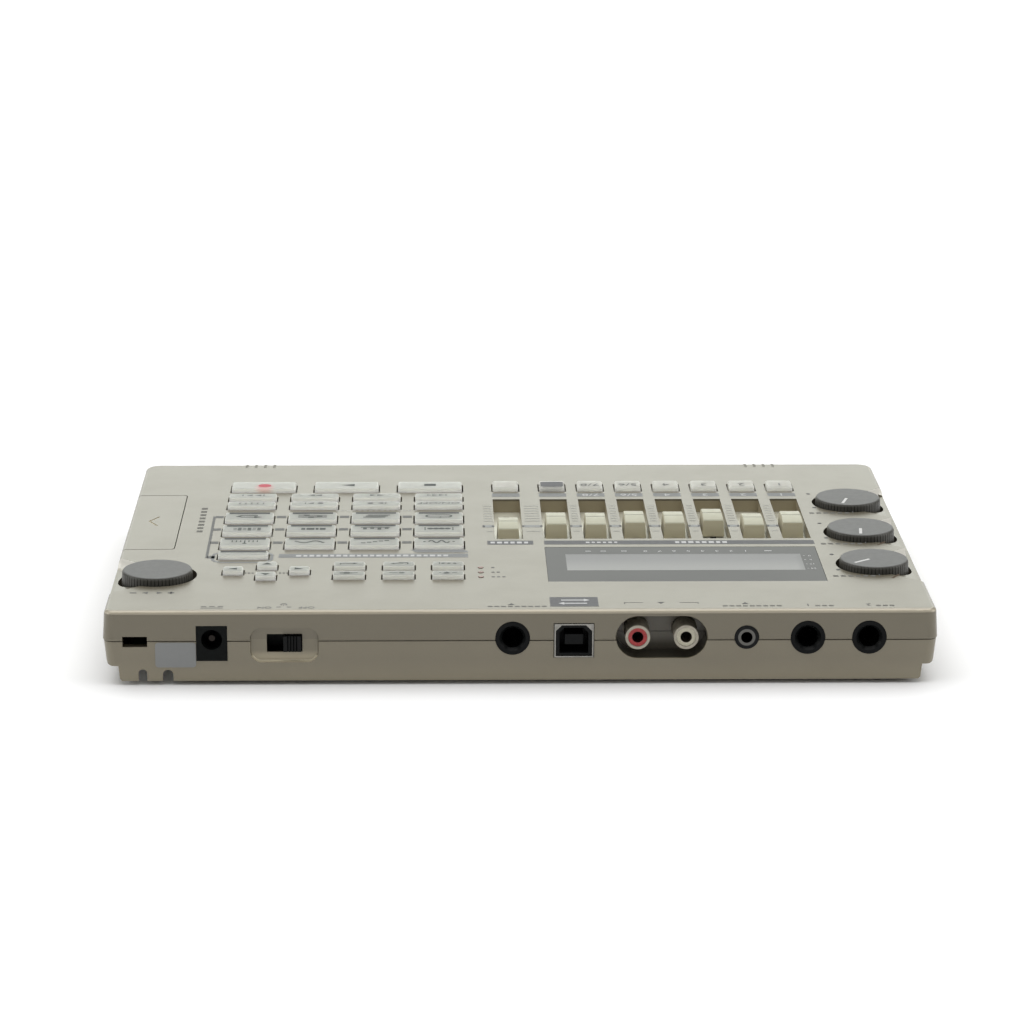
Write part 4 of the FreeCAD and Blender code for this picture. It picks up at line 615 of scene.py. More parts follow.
INKS = {"grey": ink("ink_grey", (0.155, 0.158, 0.160, 1)),
        "band": ink("ink_band", (0.240, 0.247, 0.245, 1)),
        "strip": ink("ink_strip", (0.238, 0.246, 0.244, 1)),
        "bar": ink("ink_bar", (0.315, 0.325, 0.320, 1)),
        "dash": ink("ink_dash", (0.175, 0.178, 0.172, 1)),
        "dark": ink("ink_dark", (0.120, 0.122, 0.120, 1)),
        "soft": ink("ink_soft", (0.330, 0.330, 0.300, 1)),
        "note": ink("ink_note", (0.150, 0.148, 0.135, 1)),
        "brown": ink("ink_brown", (0.100, 0.075, 0.055, 1)),
        "white": ink("ink_white", (0.52, 0.525, 0.52, 1)),
        "key": ink("ink_key", (0.105, 0.115, 0.108, 1)),
        "pointer": ink("ink_pointer", (0.60, 0.60, 0.585, 1)),
        "cloth": ink("mic_cloth", (0.26, 0.255, 0.225, 1), 0.9),
        "pale": ink("ink_pale", (0.170, 0.176, 0.168, 1)),
        "line": ink("cap_line", (0.110, 0.112, 0.105, 1)),
        "stripe": ink("ink_stripe", (0.100, 0.106, 0.106, 1)),
        "red": ink("ink_red", (0.50, 0.13, 0.155, 1)),
        "label": ink("label_film", (0.25, 0.255, 0.252, 1), 0.45, 0.012)}


class Print:
    """Thin raised prints gathered into one closed mesh, in millimetres."""

    def __init__(self, name, body, colour, z, thick=0.03, sink=0.02):
        self.name, self.body, self.ink = name, body, INKS[colour]
        self.z0, self.z1 = z - sink, z + thick
        self.bm = bmesh.new()

    def shape(self, pts, z0=None, z1=None):
        """Closed prism over a simple outline given as (x, y) points."""
        z0 = self.z0 if z0 is None else z0
        z1 = self.z1 if z1 is None else z1
        area = sum(a[0] * b[1] - b[0] * a[1]
                   for a, b in zip(pts, pts[1:] + pts[:1]))
        if area < 0:
            pts = pts[::-1]
        lo = [self.bm.verts.new((x * MM, y * MM, z0 * MM)) for x, y in pts]
        hi = [self.bm.verts.new((x * MM, y * MM, z1 * MM)) for x, y in pts]
        self.bm.faces.new(hi)
        self.bm.faces.new(lo[::-1])
        n = len(pts)
        for i in range(n):
            j = (i + 1) % n
            self.bm.faces.new((lo[i], lo[j], hi[j], hi[i]))
        return self

    def rect(self, x0, x1, y0, y1, r=0.0):
        x0, x1 = min(x0, x1), max(x0, x1)
        y0, y1 = min(y0, y1), max(y0, y1)
        if r <= 0:
            return self.shape([(x0, y0), (x1, y0), (x1, y1), (x0, y1)])
        pts = []
        for cx, cy, a in ((x1 - r, y0 + r, -90), (x1 - r, y1 - r, 0),
                          (x0 + r, y1 - r, 90), (x0 + r, y0 + r, 180)):
            for k in range(6):
                t = math.radians(a + 18 * k)
                pts.append((cx + r * math.cos(t), cy + r * math.sin(t)))
        return self.shape(pts)

    def oval(self, x, y, a, b, n=28):
        return self.shape([(x + a * math.cos(2 * math.pi * k / n),
                            y + b * math.sin(2 * math.pi * k / n))
                           for k in range(n)])

    def band(self, inner, outer):
        """Prism between two closed outlines with as many points."""
        n = len(inner)
        v = []
        for pts in (inner, outer):
            for z in (self.z0, self.z1):
                v.append([self.bm.verts.new((x * MM, y * MM, z * MM))
                          for x, y in pts])
        il, ih, ol, oh = v
        for i in range(n):
            j = (i + 1) % n
            self.bm.faces.new((ih[i], oh[i], oh[j], ih[j]))
            self.bm.faces.new((il[j], ol[j], ol[i], il[i]))
            self.bm.faces.new((ol[i], ol[j], oh[j], oh[i]))
            self.bm.faces.new((il[j], il[i], ih[i], ih[j]))
        return self

    def ring(self, x0, x1, y0, y1, r, wide):
        """Rounded frame: outer box and corner radius, and line width."""
        def outline(x0, x1, y0, y1, r):
            pts = []
            for cx, cy, a in ((x1 - r, y0 + r, -90), (x1 - r, y1 - r, 0),
                              (x0 + r, y1 - r, 90), (x0 + r, y0 + r, 180)):
                for k in range(7):
                    t = math.radians(a + 15 * k)
                    pts.append((cx + r * math.cos(t), cy + r * math.sin(t)))
            return pts
        return self.band(outline(x0 + wide, x1 - wide, y0 + wide, y1 - wide,
                                 max(0.15, r - wide)),
                         outline(x0, x1, y0, y1, r))

    def line(self, pts, wide):
        """Stroke along an open line, mitred at its corners."""
        left, right = [], []
        for i, p in enumerate(pts):
            d = Vector((0.0, 0.0))
            if i > 0:
                d += (Vector(p) - Vector(pts[i - 1])).normalized()
            if i < len(pts) - 1:
                d += (Vector(pts[i + 1]) - Vector(p)).normalized()
            d.normalize()
            n = Vector((-d.y, d.x))
            k = wide / 2
            if 0 < i < len(pts) - 1:
                e = (Vector(p) - Vector(pts[i - 1])).normalized()
                k /= max(0.4, abs(Vector((-e.y, e.x)).dot(n)))
            left.append((p[0] + n.x * k, p[1] + n.y * k))
            right.append((p[0] - n.x * k, p[1] - n.y * k))
        for i in range(len(pts) - 1):
            self.shape([left[i], right[i], right[i + 1], left[i + 1]])
        return self

    def arc(self, x, y, r, a0, a1, wide, n=14):
        pts = [(x + r * math.cos(math.radians(a0 + (a1 - a0) * k / n)),
                y + r * math.sin(math.radians(a0 + (a1 - a0) * k / n)))
               for k in range(n + 1)]
        return self.line(pts, wide)

    def tri(self, x, y, dx, dy, long, wide):
        """Triangle with its middle at x, y that points along dx, dy."""
        tx, ty = x + dx * long / 2, y + dy * long / 2
        bx, by = x - dx * long / 2, y - dy * long / 2
        return self.shape([(tx, ty), (bx - dy * wide / 2, by + dx * wide / 2),
                           (bx + dy * wide / 2, by - dx * wide / 2)])

    def text(self, words, x, y, size, stretch=1.25):
        """Numerals, read by the user at the front, centred on x, y."""
        cu = bpy.data.curves.new("numeral", "FONT")
        cu.body = words
        cu.size = size * MM * 1.38
        cu.align_x, cu.align_y = "CENTER", "CENTER"
        cu.resolution_u = 3
        ob = bpy.data.objects.new("numeral", cu)
        bpy.context.scene.collection.objects.link(ob)
        bpy.context.view_layer.update()
        me = ob.evaluated_get(
            bpy.context.evaluated_depsgraph_get()).to_mesh()
        tmp = bmesh.new()
        tmp.from_mesh(me)
        bmesh.ops.remove_doubles(tmp, verts=tmp.verts, dist=1e-7)
        flat = [f for f in tmp.faces]
        geo = bmesh.ops.extrude_face_region(tmp, geom=flat)
        up = [g for g in geo["geom"] if isinstance(g, bmesh.types.BMVert)]
        raised = set(up)
        for v in tmp.verts:
            v.co.x = v.co.x * stretch + x * MM
            v.co.y = v.co.y + y * MM
            v.co.z = (self.z1 if v in raised else self.z0) * MM
        bmesh.ops.recalc_face_normals(tmp, faces=tmp.faces)
        hold = bpy.data.meshes.new("numeral")
        tmp.to_mesh(hold)
        tmp.free()
        self.bm.from_mesh(hold)
        ob.to_mesh_clear()
        bpy.data.objects.remove(ob)
        bpy.data.curves.remove(cu)
        bpy.data.meshes.remove(hold)
        return self

    def done(self):
        me = bpy.data.meshes.new(self.name)
        bmesh.ops.recalc_face_normals(self.bm, faces=self.bm.faces)
        self.bm.to_mesh(me)
        self.bm.free()
        me.materials.append(self.ink)
        ob = bpy.data.objects.new(self.name, me)
        bpy.context.scene.collection.objects.link(ob)
        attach(ob, self.body)
        return ob


COLUMNS = [25.3, 46.53, 67.76, 89.0]      # stop side to record side
TALL = {"edit_keys": -15.1, "rhythm_keys": 0.4, "effect_keys": 15.9}
LANES = {"master": 2.15}
for i, t in enumerate(TRACKS[1:]):
    LANES[t] = -14.0 - 13.2 * i


def icon(p, kind, x, y, w=8.4, h=2.3, bold=1.0):
    """Plain function symbols, drawn in a box of w by h round x, y."""
    a, b = w / 2, h / 2
    t = bold
    if kind == "back":                     # hooked arrow
        p.line([(x - a * 0.5, y + b * 0.5), (x + a * 0.5, y + b * 0.5),
                (x + a * 0.8, y), (x + a * 0.5, y - b * 0.7),
                (x - a * 0.6, y - b * 0.7)], 0.5 * t)
        p.tri(x - a * 0.62, y + b * 0.5, -1, 0, 1.7 * t, 1.6 * t)
    elif kind == "slide":                  # three sliders
        for k, s in ((-1, 0.4), (0, -0.5), (1, 0.1)):
            p.rect(x - a, x + a, y + k * h * 0.36 - 0.12 * t,
                   y + k * h * 0.36 + 0.12 * t)
            p.rect(x + s * a - 0.6 * t, x + s * a + 0.6 * t,
                   y + k * h * 0.36 - 0.36 * t, y + k * h * 0.36 + 0.36 * t)
    elif kind == "layers":                 # stacked takes
        for k, s in ((-1, 0.0), (0, 0.35), (1, 0.7)):
            p.rect(x - a + s * 2.2, x + a * 0.55 + s * 2.2,
                   y + k * h * 0.36 - 0.24 * t, y + k * h * 0.36 + 0.24 * t)
    elif kind == "loop":                   # long loop with an arrow
        p.arc(x - a * 0.6, y, b * 0.75, 90, 270, 0.45 * t, 8)
        p.arc(x + a * 0.6, y, b * 0.75, -90, 90, 0.45 * t, 8)
        p.rect(x - a * 0.6, x + a * 0.6, y + b * 0.75 - 0.22 * t,
               y + b * 0.75 + 0.22 * t)
        p.rect(x - a * 0.6, x + a * 0.6, y - b * 0.75 - 0.22 * t,
               y - b * 0.75 + 0.22 * t)
        p.tri(x, y + b * 0.75, 1, 0, 1.5, 1.5)
    elif kind == "steps":                  # step grid with some steps on
        for i in range(6):
            for j in range(2):
                cx = x - a + (i + 0.5) * w / 6
                cy = y - b + (j + 0.5) * h / 2
                if (i * 2 + j * 3) % 4 in (0, 3):
                    p.rect(cx - 0.55, cx + 0.55, cy - 0.6, cy + 0.6)
                else:
                    p.rect(cx - 0.5, cx + 0.5, cy - 0.2, cy + 0.2)
    elif kind == "bars":                   # bars of unequal length in a row
        q = x - a
        for n in (1.9, 0.9, 2.6, 1.3):
            p.rect(q, q + n, y - b * 0.6, y + b * 0.6)
            q += n + 0.45
    elif kind == "blocks":                 # song order: blocks on a line
        p.rect(x - a, x + a, y - b, y - b + 0.45)
        for k, n in ((-0.8, 0.5), (-0.3, 0.9), (0.2, 0.5), (0.7, 0.7)):
            p.rect(x + k * a - 0.62, x + k * a + 0.62, y - b + 0.6,
                   y - b + 0.6 + n * h * 0.72)
    elif kind == "beat":                   # beats between bar lines
        p.rect(x - a, x - a + 0.35, y - b, y + b)
        p.rect(x + a - 0.35, x + a, y - b, y + b)
        for k in (-0.6, -0.2, 0.2, 0.6):
            p.oval(x + k * a, y - 0.1, 0.7 * t, 0.6 * t, 12)
    elif kind == "needle":                 # tuning needle over a scale
        for k in range(7):
            q = x - a + (k + 0.5) * w / 7
            n = 0.9 if k == 3 else 0.5
            p.rect(q - 0.2, q + 0.2, y - b, y - b + n * h)
        p.tri(x, y + b * 0.75, 0, -1, 1.1, 1.7)
    elif kind == "curve":                  # filter curve
        pts = [(x - a + w * k / 16, y + b * 0.8 * math.sin(
            2.6 * (k / 16 - 0.5) * math.pi) * (1 - 0.4 * k / 16))
               for k in range(17)]
        p.line(pts, 0.45 * t)
    elif kind == "pitch":                  # stair of notes
        for k in range(5):
            q = x - a + k * w / 5
            p.rect(q, q + w / 5 - 0.45, y - b + k * h * 0.19,
                   y - b + k * h * 0.19 + 0.5 * t)
    elif kind == "wave":                   # wave between two dots
        pts = [(x - a * 0.7 + w * 0.7 * k / 18,
                y + b * 0.75 * math.sin(4 * math.pi * k / 18))
               for k in range(19)]
        p.line(pts, 0.42 * t)
        p.oval(x - a, y, 0.45, 0.4, 12)
        p.oval(x + a, y, 0.45, 0.4, 12)
    elif kind == "enter":
        p.line([(x + a, y + b), (x + a, y - b * 0.2), (x - a * 0.6,
                                                       y - b * 0.2)], 0.4)
        p.tri(x - a * 0.65, y - b * 0.2, -1, 0, 1.2, 1.3)
    elif kind == "exit":
        p.line([(x - a, y + b), (x - a, y - b), (x, y - b)], 0.35)
        p.line([(x - a * 0.5, y), (x + a * 0.6, y)], 0.35)
        p.tri(x + a * 0.7, y, 1, 0, 1.1, 1.2)
    elif kind == "mode":
        for k in (-0.75, -0.1, 0.55):
            p.oval(x + k * a, y, 0.55, 0.5, 14)
        p.rect(x + a - 0.3, x + a, y - b, y + b)
    elif kind == "socket":
        p.line([(x - a, y), (x - a * 0.1, y)], 0.4)
        p.rect(x - a * 0.1, x + a * 0.55, y - b * 0.75, y + b * 0.75)
        p.rect(x + a * 0.55, x + a, y - b * 0.3, y + b * 0.3)
    elif kind == "mic":
        p.oval(x - a * 0.35, y, 0.95, 0.62, 16)
        p.line([(x + a * 0.05, y), (x + a, y)], 0.42)
    elif kind == "pick":
        p.shape([(x + a * 0.15, y - b), (x + a * 0.55, y + b * 0.5),
                 (x + a * 0.35, y + b * 0.95), (x - a * 0.05, y + b * 0.95),
                 (x - a * 0.25, y + b * 0.5)])
        p.rect(x - a, x - a * 0.45, y - 0.16, y + 0.16)
        p.rect(x + a * 0.75, x + a, y - 0.16, y + 0.16)
    return p


# --- marks on the keys, each riding with its own key
Print("rec_mark", "rec_key_body", "red", KEY_TOP).oval(
    85.6, -53.7, 2.25, 1.9).done()
Print("play_mark", "play_key_body", "key", KEY_TOP).tri(
    56.7, -54.2, 1, 0, 4.5, 2.8).done()
Print("stop_mark", "stop_key_body", "key", KEY_TOP).rect(
    26.3, 30.3, -55.7, -53.0).done()

p = Print("locate_marks", "locate_keys_body", "pale", KEY_TOP)
y = -41.1
p.rect(22.6, 23.0, y - 1.0, y + 1.0)
p.tri(24.3, y, -1, 0, 1.9, 2.0).tri(26.6, y, -1, 0, 1.9, 2.0)
p.tri(28.6, y, -1, 0, 1.5, 1.6)
p.tri(45.4, y, -1, 0, 2.1, 2.0).tri(47.8, y, -1, 0, 2.1, 2.0)
p.tri(66.5, y, 1, 0, 2.1, 2.0).tri(68.9, y, 1, 0, 2.1, 2.0)
p.rect(85.1, 85.5, y - 1.0, y + 1.0).tri(87.3, y, 1, 0, 2.1, 2.0)
p.tri(90.2, y, 1, 0, 2.1, 2.0).rect(92.3, 92.7, y - 1.0, y + 1.0)
p.done()
p = Print("punch_marks", "punch_keys_body", "pale", KEY_TOP)
y = -30.8
p.text("ON/OFF", 25.3, y, 2.0, 1.45)
p.rect(43.2, 43.6, y - 1, y + 1).tri(45.3, y, 1, 0, 2.0, 1.9)
p.oval(48.6, y, 1.0, 0.95, 16)
p.oval(65.6, y, 1.0, 0.95, 16).tri(68.9, y, 1, 0, 2.0, 1.9)
p.rect(70.5, 70.9, y - 1, y + 1)
for k in range(5):
    q = 85.0 + 2.0 * k
    p.rect(q - 0.2, q + 0.2, y - 1, y + 0.2)
    p.tri(q, y + 0.75, 0, -1, 0.8, 1.1)
p.done()

SYMBOLS = {"edit_keys": ("loop", "layers", "slide", "back"),
           "rhythm_keys": ("beat", "blocks", "bars", "steps"),
           "effect_keys": ("wave", "pitch", "curve", "needle")}
for row, yk in TALL.items():
    p = Print(row + "_strips", row + "_body", "stripe", KEY_TOP)
    for x in COLUMNS:
        p.rect(x - 6.8, x + 6.8, yk - 3.95, yk - 2.35)
    p.done()
    p = Print(row + "_marks", row + "_body", "key", KEY_TOP)
    for x, kind in zip(COLUMNS, SYMBOLS[row]):
        icon(p, kind, x, yk + 0.7, 9.6, 3.6, 1.5)
    p.done()
Print("pad_mode_strip", "pad_mode_key_body", "stripe", KEY_TOP).rect(
    88.85 - 7.3, 88.85 + 7.3, 27.0, 28.5).done()

p = Print("mode_upper_marks", "mode_keys_upper_body", "key", KEY_TOP)
for x, kind in ((54.1, "enter"), (38.3, "exit"), (22.5, "mode")):
    icon(p, kind, x, 41.7, 5.8, 2.0)
p.done()
p = Print("mode_lower_marks", "mode_keys_lower_body", "key", KEY_TOP)
for x, kind in ((54.1, "socket"), (38.3, "mic"), (22.5, "pick")):
    icon(p, kind, x, 52.2, 5.8, 2.0)
p.done()
for name, x, yk, dx, dy in (("left", 91.2, 47.2, 1, 0),
                            ("right", 70.2, 47.2, -1, 0),
                            ("up", 80.55, 41.5, 0, -1),
                            ("down", 80.6, 53.3, 0, 1)):
    long, wide = (2.6, 2.2) if dx else (2.0, 3.0)
    Print("cursor_%s_mark" % name, "cursor_%s_key_body" % name, "key",
          KEY_TOP).tri(x, yk, dx, dy, long, wide).done()

for t, x in LANES.items():
    if t == "rhythm":
        Print("pad_patch", "track_pad_rhythm_body", "grey", KEY_TOP).rect(
            x - 3.9, x + 3.9, -57.9, -51.75, 0.8).done()
    elif t != "master":
        Print("pad_%s_number" % t, "track_pad_%s_body" % t, "pale",
              KEY_TOP).text(t.replace("_", "/"), x, -54.3, 3.1, 1.25).done()

# white filling of the pointer grooves in the level knobs
for name, kx, ky, turn in (("rec", -115.0, -35.5, -18.3),
                           ("mic", -115.0, 1.9, -6.2),
                           ("guitar", -115.0, 38.9, -52.0)):
    a = math.radians(turn)
    Print("%s_pointer" % name, "%s_level_knob_body" % name, "pointer",
          0.0).shape([(kx + u * math.cos(a) - v * math.sin(a),
                       ky + u * math.sin(a) + v * math.cos(a))
                      for u, v in ((-0.46, 2.05), (0.46, 2.05),
                                   (0.46, 8.55), (-0.46, 8.55))],
                     25.960, 26.140).done()

# pointer lines in the grooves of the fader caps
CAP_AT = {"master": -5.4, "rhythm": -11.2, "7_8": -10.8, "5_6": -12.9,
          "4": -12.2, "3": -15.4, "2": -9.7, "1": -12.4}
for t, y in CAP_AT.items():
    x = LANES[t]
    Print("cap_%s_line" % t, "fader_cap_%s_body" % t, "line", 0.0).shape(
        [(x - 3.1, y - 0.24), (x + 3.1, y - 0.24), (x + 3.1, y + 0.24),
         (x - 3.1, y + 0.24)], 25.91, 26.215).done()

# --- marks on the case
p = Print("panel_dashes", "unit", "dash", TOP)
# bracket beside the function keys, and the dashes between the columns
p.line([(100.96, -19.7), (100.7, 30.0)], 0.9)
for y, q in ((-18.9, 0.4), (-3.6, 0.2), (12.2, 0.15), (29.2, 0.05)):
    p.rect(97.9, 100.5, y - 1.3, y + 1.3)
for y in (-18.9, -3.6, 12.3):
    for k in range(3):
        p.rect(80.0 - 21.23 * k, 76.8 - 21.23 * k, y - 1.35, y + 1.35)
p.done()
p = Print("panel_band", "unit", "band", TOP)
p.rect(15.9, 77.4, 25.7, 29.9)
p.shape([(15.9, 24.2), (15.9, 22.7), (17.6, 20.9), (34.6, 20.9),
         (32.8, 24.2)])
p.ring(79.1, 99.2, 23.2, 35.6, 4.2, 1.0)
p.done()
p = Print("panel_bars", "unit", "bar", TOP)
# zero bars between the fader wells
for k in range(7):
    x0 = 2.15 - 13.2 * k - (2.95 if k else 0) - 4.65
    x1 = -14.0 - 13.2 * k + 4.65
    y = -6.8
    if k:
        x0 = -14.0 - 13.2 * (k - 1) - 4.65
    mid = (x0 + x1) / 2
    half = abs(x0 - x1) / 2
    p.rect(mid - half + 0.75, mid + half - 0.75, y - 1.25, y + 1.25)
p.rect(7.5, 10.2, -8.05, -5.55)
p.done()

p = Print("panel_strips", "unit", "strip", TOP)
for t, x in LANES.items():
    p.rect(x - 4.75, x + 4.75, -48.2, -44.1)
p.done()

p = Print("panel_grey", "unit", "grey", TOP)
p.rect(-5.7, 9.4, 10.7, 15.2)
p.rect(-98.4, -9.3, 10.7, 15.2)
p.rect(-24.1, -9.05, 74.4, 84.3)
for k in range(7):
    a = 2.15 if k == 0 else -14.0 - 13.2 * (k - 1)
    b = -14.0 - 13.2 * k
    p.oval(a - 5.0, -6.8, 0.45, 1.2, 14)
    p.oval(b + 5.0, -6.8, 0.45, 1.2, 14)
p.oval(7.2, -6.8, 0.45, 1.2, 14).oval(10.4, -6.8, 0.45, 1.2, 14)
p.done()

p = Print("panel_lines", "unit", "soft", TOP)
for k in range(7):
    y = -32.06 + 3.14 * k
    p.rect(-8.6, -3.7, y - 0.38, y + 0.38)
    p.rect(7.3, 10.2, y - 0.38, y + 0.38)
    for n in range(6):
        mid = -20.6 - 13.2 * n
        p.rect(mid - 1.1, mid + 1.1, y - 0.38, y + 0.38)
p.rect(-8.5, -3.8, -0.98, -0.24)
p.rect(7.3, 9.3, -0.98, -0.24)
for n in range(6):
    mid = -20.6 - 13.2 * n
    p.rect(mid - 1.1, mid + 1.1, -0.98, -0.24)
# broken line over the punch keys
for k in range(15):
    q = 32.6 + 1.9 * k
    p.rect(q, q + 1.2, -26.9, -26.1)
p.done()

# cloth behind the microphone slots
p = Print("mic_cloth", "unit", "cloth", TOP)
for x in (88.4, -88.9):
    for k in range(4):
        q = x - 4.85 + 3.25 * k
        p.shape([(q - 0.42, -88.2), (q + 0.42, -88.2), (q + 0.42, -83.3),
                 (q - 0.42, -83.3)], TOP - 1.38, TOP - 0.16)
p.done()

# small marks between the cursor keys
p = Print("panel_notes", "unit", "note", TOP)
# ticks beside the card cover and over the jacks
for k in range(8):
    p.rect(103.9, 105.9, -30.5 + 4.0 * k, -28.4 + 4.0 * k)
for x, n in ((10.4, 9), (-62.6, 9), (-91.4, 3), (-110.3, 3)):
    for k in range(n):
        p.rect(x - 2.1 * k, x - 1.5 - 2.1 * k, 83.5, 84.6)
for x in (87.3, 86.1, 84.9, 76.2, 75.0, 73.8):
    p.rect(x - 0.35, x + 0.35, 46.6, 47.8)
for x, y in ((-115.0, -35.5), (-115.0, 1.9), (-115.0, 38.9)):
    for k in range(6):
        p.rect(x + 0.9 + 2.4 * k, x + 2.5 + 2.4 * k, y + 12.4, y + 14.0)
p.done()
p = Print("peak_marks", "unit", "brown", TOP)
p.line([(-119.1, 16.6), (-121.9, 12.9)], 0.8)
p.line([(-119.1, 54.6), (-121.8, 50.4)], 0.8)
p.done()

p = Print("panel_dark", "unit", "dark", TOP)
for x, y in ((-115.0, -35.5), (-115.0, 1.9), (-115.0, 38.9)):
    # ends of the travel, and the tick of the legend below
    p.oval(x + 12.4, y - 11.4, 0.7, 0.75, 16)
    p.oval(x + 12.1, y + 6.2, 0.7, 0.75, 16)
    p.rect(x - 0.5, x - 0.2, y + 11.2, y + 13.2)
# rear edge: power, inputs and outputs
p.text("OFF", 66.4, 84.5, 1.9, 1.1)
p.text("ON", 79.5, 84.5, 1.9, 1.1)
p.rect(71.2, 72.6, 83.7, 84.2).rect(74.4, 75.8, 83.7, 84.2)
p.arc(73.6, 81.3, 0.9, 130, 410, 0.3).rect(73.45, 73.75, 81.3, 82.6)
p.rect(92.3, 99.2, 84.6, 85.1)
for k in range(3):
    p.rect(92.3 + 2.6 * k, 94.0 + 2.6 * k, 83.1, 83.6)
p.text("1", -89.2, 83.0, 2.1, 1.2)
p.text("2", -108.1, 83.0, 2.1, 1.2)
p.rect(-32.1, -38.0, 80.2, 80.5).rect(-49.4, -55.3, 80.2, 80.5)
p.rect(-32.1, -32.4, 80.2, 81.6).rect(-55.3, -55.0, 80.2, 81.6)
p.tri(-43.6, 80.7, 0, 1, 1.7, 2.2)
p.tri(-69.8, 81.2, 0, -1, 1.7, 2.2)
p.tri(3.0, 81.6, 0, -1, 1.7, 2.2)
# lamps
for k, y in enumerate((41.65, 46.85, 52.05)):
    for j in range(k + 1):
        p.rect(7.6 - 1.7 * j, 8.6 - 1.7 * j, y - 0.45, y + 0.45)
# value dial: less and more
p.rect(120.3, 122.3, 68.2, 69.0).tri(117.6, 68.6, 1, 0, 1.8, 1.9)
p.tri(113.0, 68.6, -1, 0, 1.8, 1.9).rect(108.4, 110.4, 68.2, 69.0)
p.rect(109.1, 109.7, 67.5, 69.7)
p.done()

p = Print("data_arrows", "unit", "white", TOP + 0.03)
p.rect(-20.6, -13.4, 80.6, 81.5).tri(-12.6, 81.05, 1, 0, 1.8, 2.6)
p.rect(-19.8, -12.6, 77.2, 78.1).tri(-20.6, 77.65, -1, 0, 1.8, 2.6)
p.done()

# broken white lines on the grey fields
p = Print("field_ticks", "unit", "white", TOP + 0.03)
for x0, x1, y0, y1, run in (
        (22.4, 72.6, 26.9, 28.8, (1.5, 1.2, 1.7, 1.3)),
        (-4.0, 8.4, 11.9, 14.0, (1.3, 1.6, 1.4)),
        (-33.4, -22.2, 12.2, 13.7, (1.0, 1.2)),
        (-69.6, -51.8, 11.9, 14.0, (1.5, 1.3, 1.7))):
    q, k = x0, 0
    while q + run[k % len(run)] <= x1 + 0.01:
        p.rect(q, q + run[k % len(run)], y0, y1)
        q += run[k % len(run)] + 0.75
        k += 1
p.done()

LENS_TOP = 23.95
p = Print("strip_numbers", "unit", "white", TOP + 0.03)
for t, x in LANES.items():
    if t not in ("master", "rhythm"):
        p.text(t.replace("_", "/"), x, -46.2, 2.8, 1.25)
p.done()
p = Print("display_numbers", "unit", "white", LENS_TOP, thick=0.03)
for k in range(8):
    p.text(str(k + 1), -74.9 + 4.69 * k, 23.1, 1.8, 1.15)
p.rect(-83.4, -81.0, 22.7, 23.4)
for x in (-23.4, -28.3, -35.1):
    p.rect(x - 0.9, x + 0.9, 22.7, 23.4)
for n, y in (("0", 28.9), ("6", 33.4), ("12", 38.3), ("24", 43.3)):
    p.rect(-93.7, -93.1, y - 0.16, y + 0.16)
    p.text(n, -95.2, y, 1.5, 0.9)
p.done()

# plain film label on the rear of the tray
film = Print("rear_label", "unit", "label", 0.0)
film.bm.free()
film.bm = bmesh.new()


def rear_plate(bm, x0, x1, z0, z1, y0, y1, r):
    pts = []
    for cx, cz, a in ((x1 - r, z0 + r, -90), (x1 - r, z1 - r, 0),
                      (x0 + r, z1 - r, 90), (x0 + r, z0 + r, 180)):
        for k in range(6):
            t = math.radians(a + 18 * k)
            pts.append((cx + r * math.cos(t), cz + r * math.sin(t)))
    back = [bm.verts.new((x * MM, y0 * MM, z * MM)) for x, z in pts]
    front = [bm.verts.new((x * MM, y1 * MM, z * MM)) for x, z in pts]
    bm.faces.new(front[::-1])
    bm.faces.new(back)
    n = len(pts)
    for i in range(n):
        j = (i + 1) % n
        bm.faces.new((back[j], back[i], front[i], front[j]))


rear_plate(film.bm, 100.65, 113.25, 5.8, 13.85, 88.0, 88.14, 1.0)
film.done()


# ------------------------------------------------------------ surroundings
def area(name, where, aim, wide, high, power, colour=(1.0, 1.0, 1.0)):
    data = bpy.data.lights.new(name, "AREA")
    data.shape = "RECTANGLE"
    data.size, data.size_y = wide, high
    data.energy = power
    data.color = colour
    ob = bpy.data.objects.new(name, data)
    ob.location = where
    ob.rotation_mode = "QUATERNION"
    ob.rotation_quaternion = (Vector(aim) - Vector(where)).to_track_quat(
        "-Z", "Y")
    bpy.context.scene.collection.objects.link(ob)
    return ob


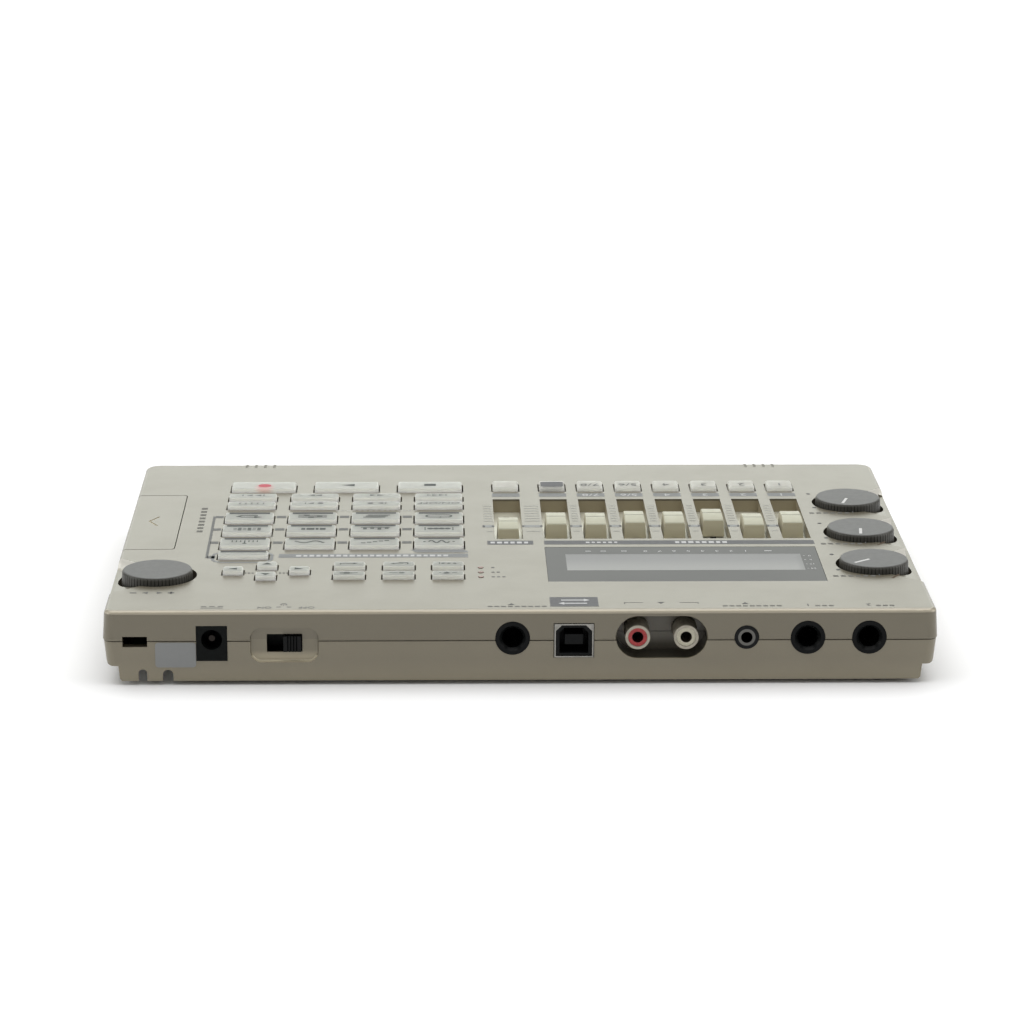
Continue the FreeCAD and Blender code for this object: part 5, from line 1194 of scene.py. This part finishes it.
area("overhead", (0.0, -0.3, 2.3), (0.0, 0.0, 0.0), 3.2, 2.6, 54.0)
area("far_panel", (0.0, -2.9, 1.0), (0.0, 0.0, 0.1), 3.4, 1.8, 26.0,
     (0.96, 1.0, 0.93))
area("near_fill", (0.0, 2.6, 1.1), (0.0, 0.0, 0.0), 3.0, 1.2, 2.0)
area("left_panel", (2.5, 0.2, 1.0), (0.0, 0.0, 0.0), 1.6, 1.4, 14.0)
area("right_panel", (-2.5, 0.2, 1.0), (0.0, 0.0, 0.0), 1.6, 1.4, 14.0)

world = bpy.data.worlds.new("studio")
world.use_nodes = True
world.node_tree.nodes["Background"].inputs[0].default_value = (1, 1, 1, 1)
world.node_tree.nodes["Background"].inputs[1].default_value = 0.36
bpy.context.scene.world = world

bm = bmesh.new()
bmesh.ops.create_grid(bm, x_segments=24, y_segments=24, size=5.0)
me = bpy.data.meshes.new("floor")
bm.to_mesh(me)
bm.free()
floor = bpy.data.objects.new("floor", me)
bpy.context.scene.collection.objects.link(floor)
f = Finish("floor_paper", rough=0.85, specular=0.2)
f.colour(f.mix(f.span(f.noise(0.004, 3.0), 0.3, 0.7),
               (0.94, 0.94, 0.94, 1), (0.96, 0.96, 0.96, 1)))
f.bump((f.noise(0.6, 3.0), 0.04, 0.05))
me.materials.append(f.mat)

# camera at the photograph's place
data = bpy.data.cameras.new("camera")
data.sensor_width = 36.0
data.lens = 124.15
data.clip_start, data.clip_end = 0.05, 30.0
cam = bpy.data.objects.new("camera", data)
bpy.context.scene.collection.objects.link(cam)
yaw, pitch, roll = -0.023, 0.273, 0.004
turn = Matrix.Rotation(yaw, 3, "Z")
right0 = turn @ Vector((-1.0, 0.0, 0.0))
back0 = turn @ Vector((0.0, 1.0, 0.0))
z = Vector((0.0, 0.0, 1.0))
back = back0 * math.cos(pitch) + z * math.sin(pitch)
over = z * math.cos(pitch) - back0 * math.sin(pitch)
right = right0 * math.cos(roll) + over * math.sin(roll)
up = over * math.cos(roll) - right0 * math.sin(roll)
m = Matrix((right, up, back)).transposed().to_4x4()
m.translation = Vector((0.02702, 1.12999, 0.34733))
cam.matrix_world = m
bpy.context.scene.camera = cam

bpy.context.scene.view_settings.view_transform = "Standard"

bpy.context.view_layer.update()
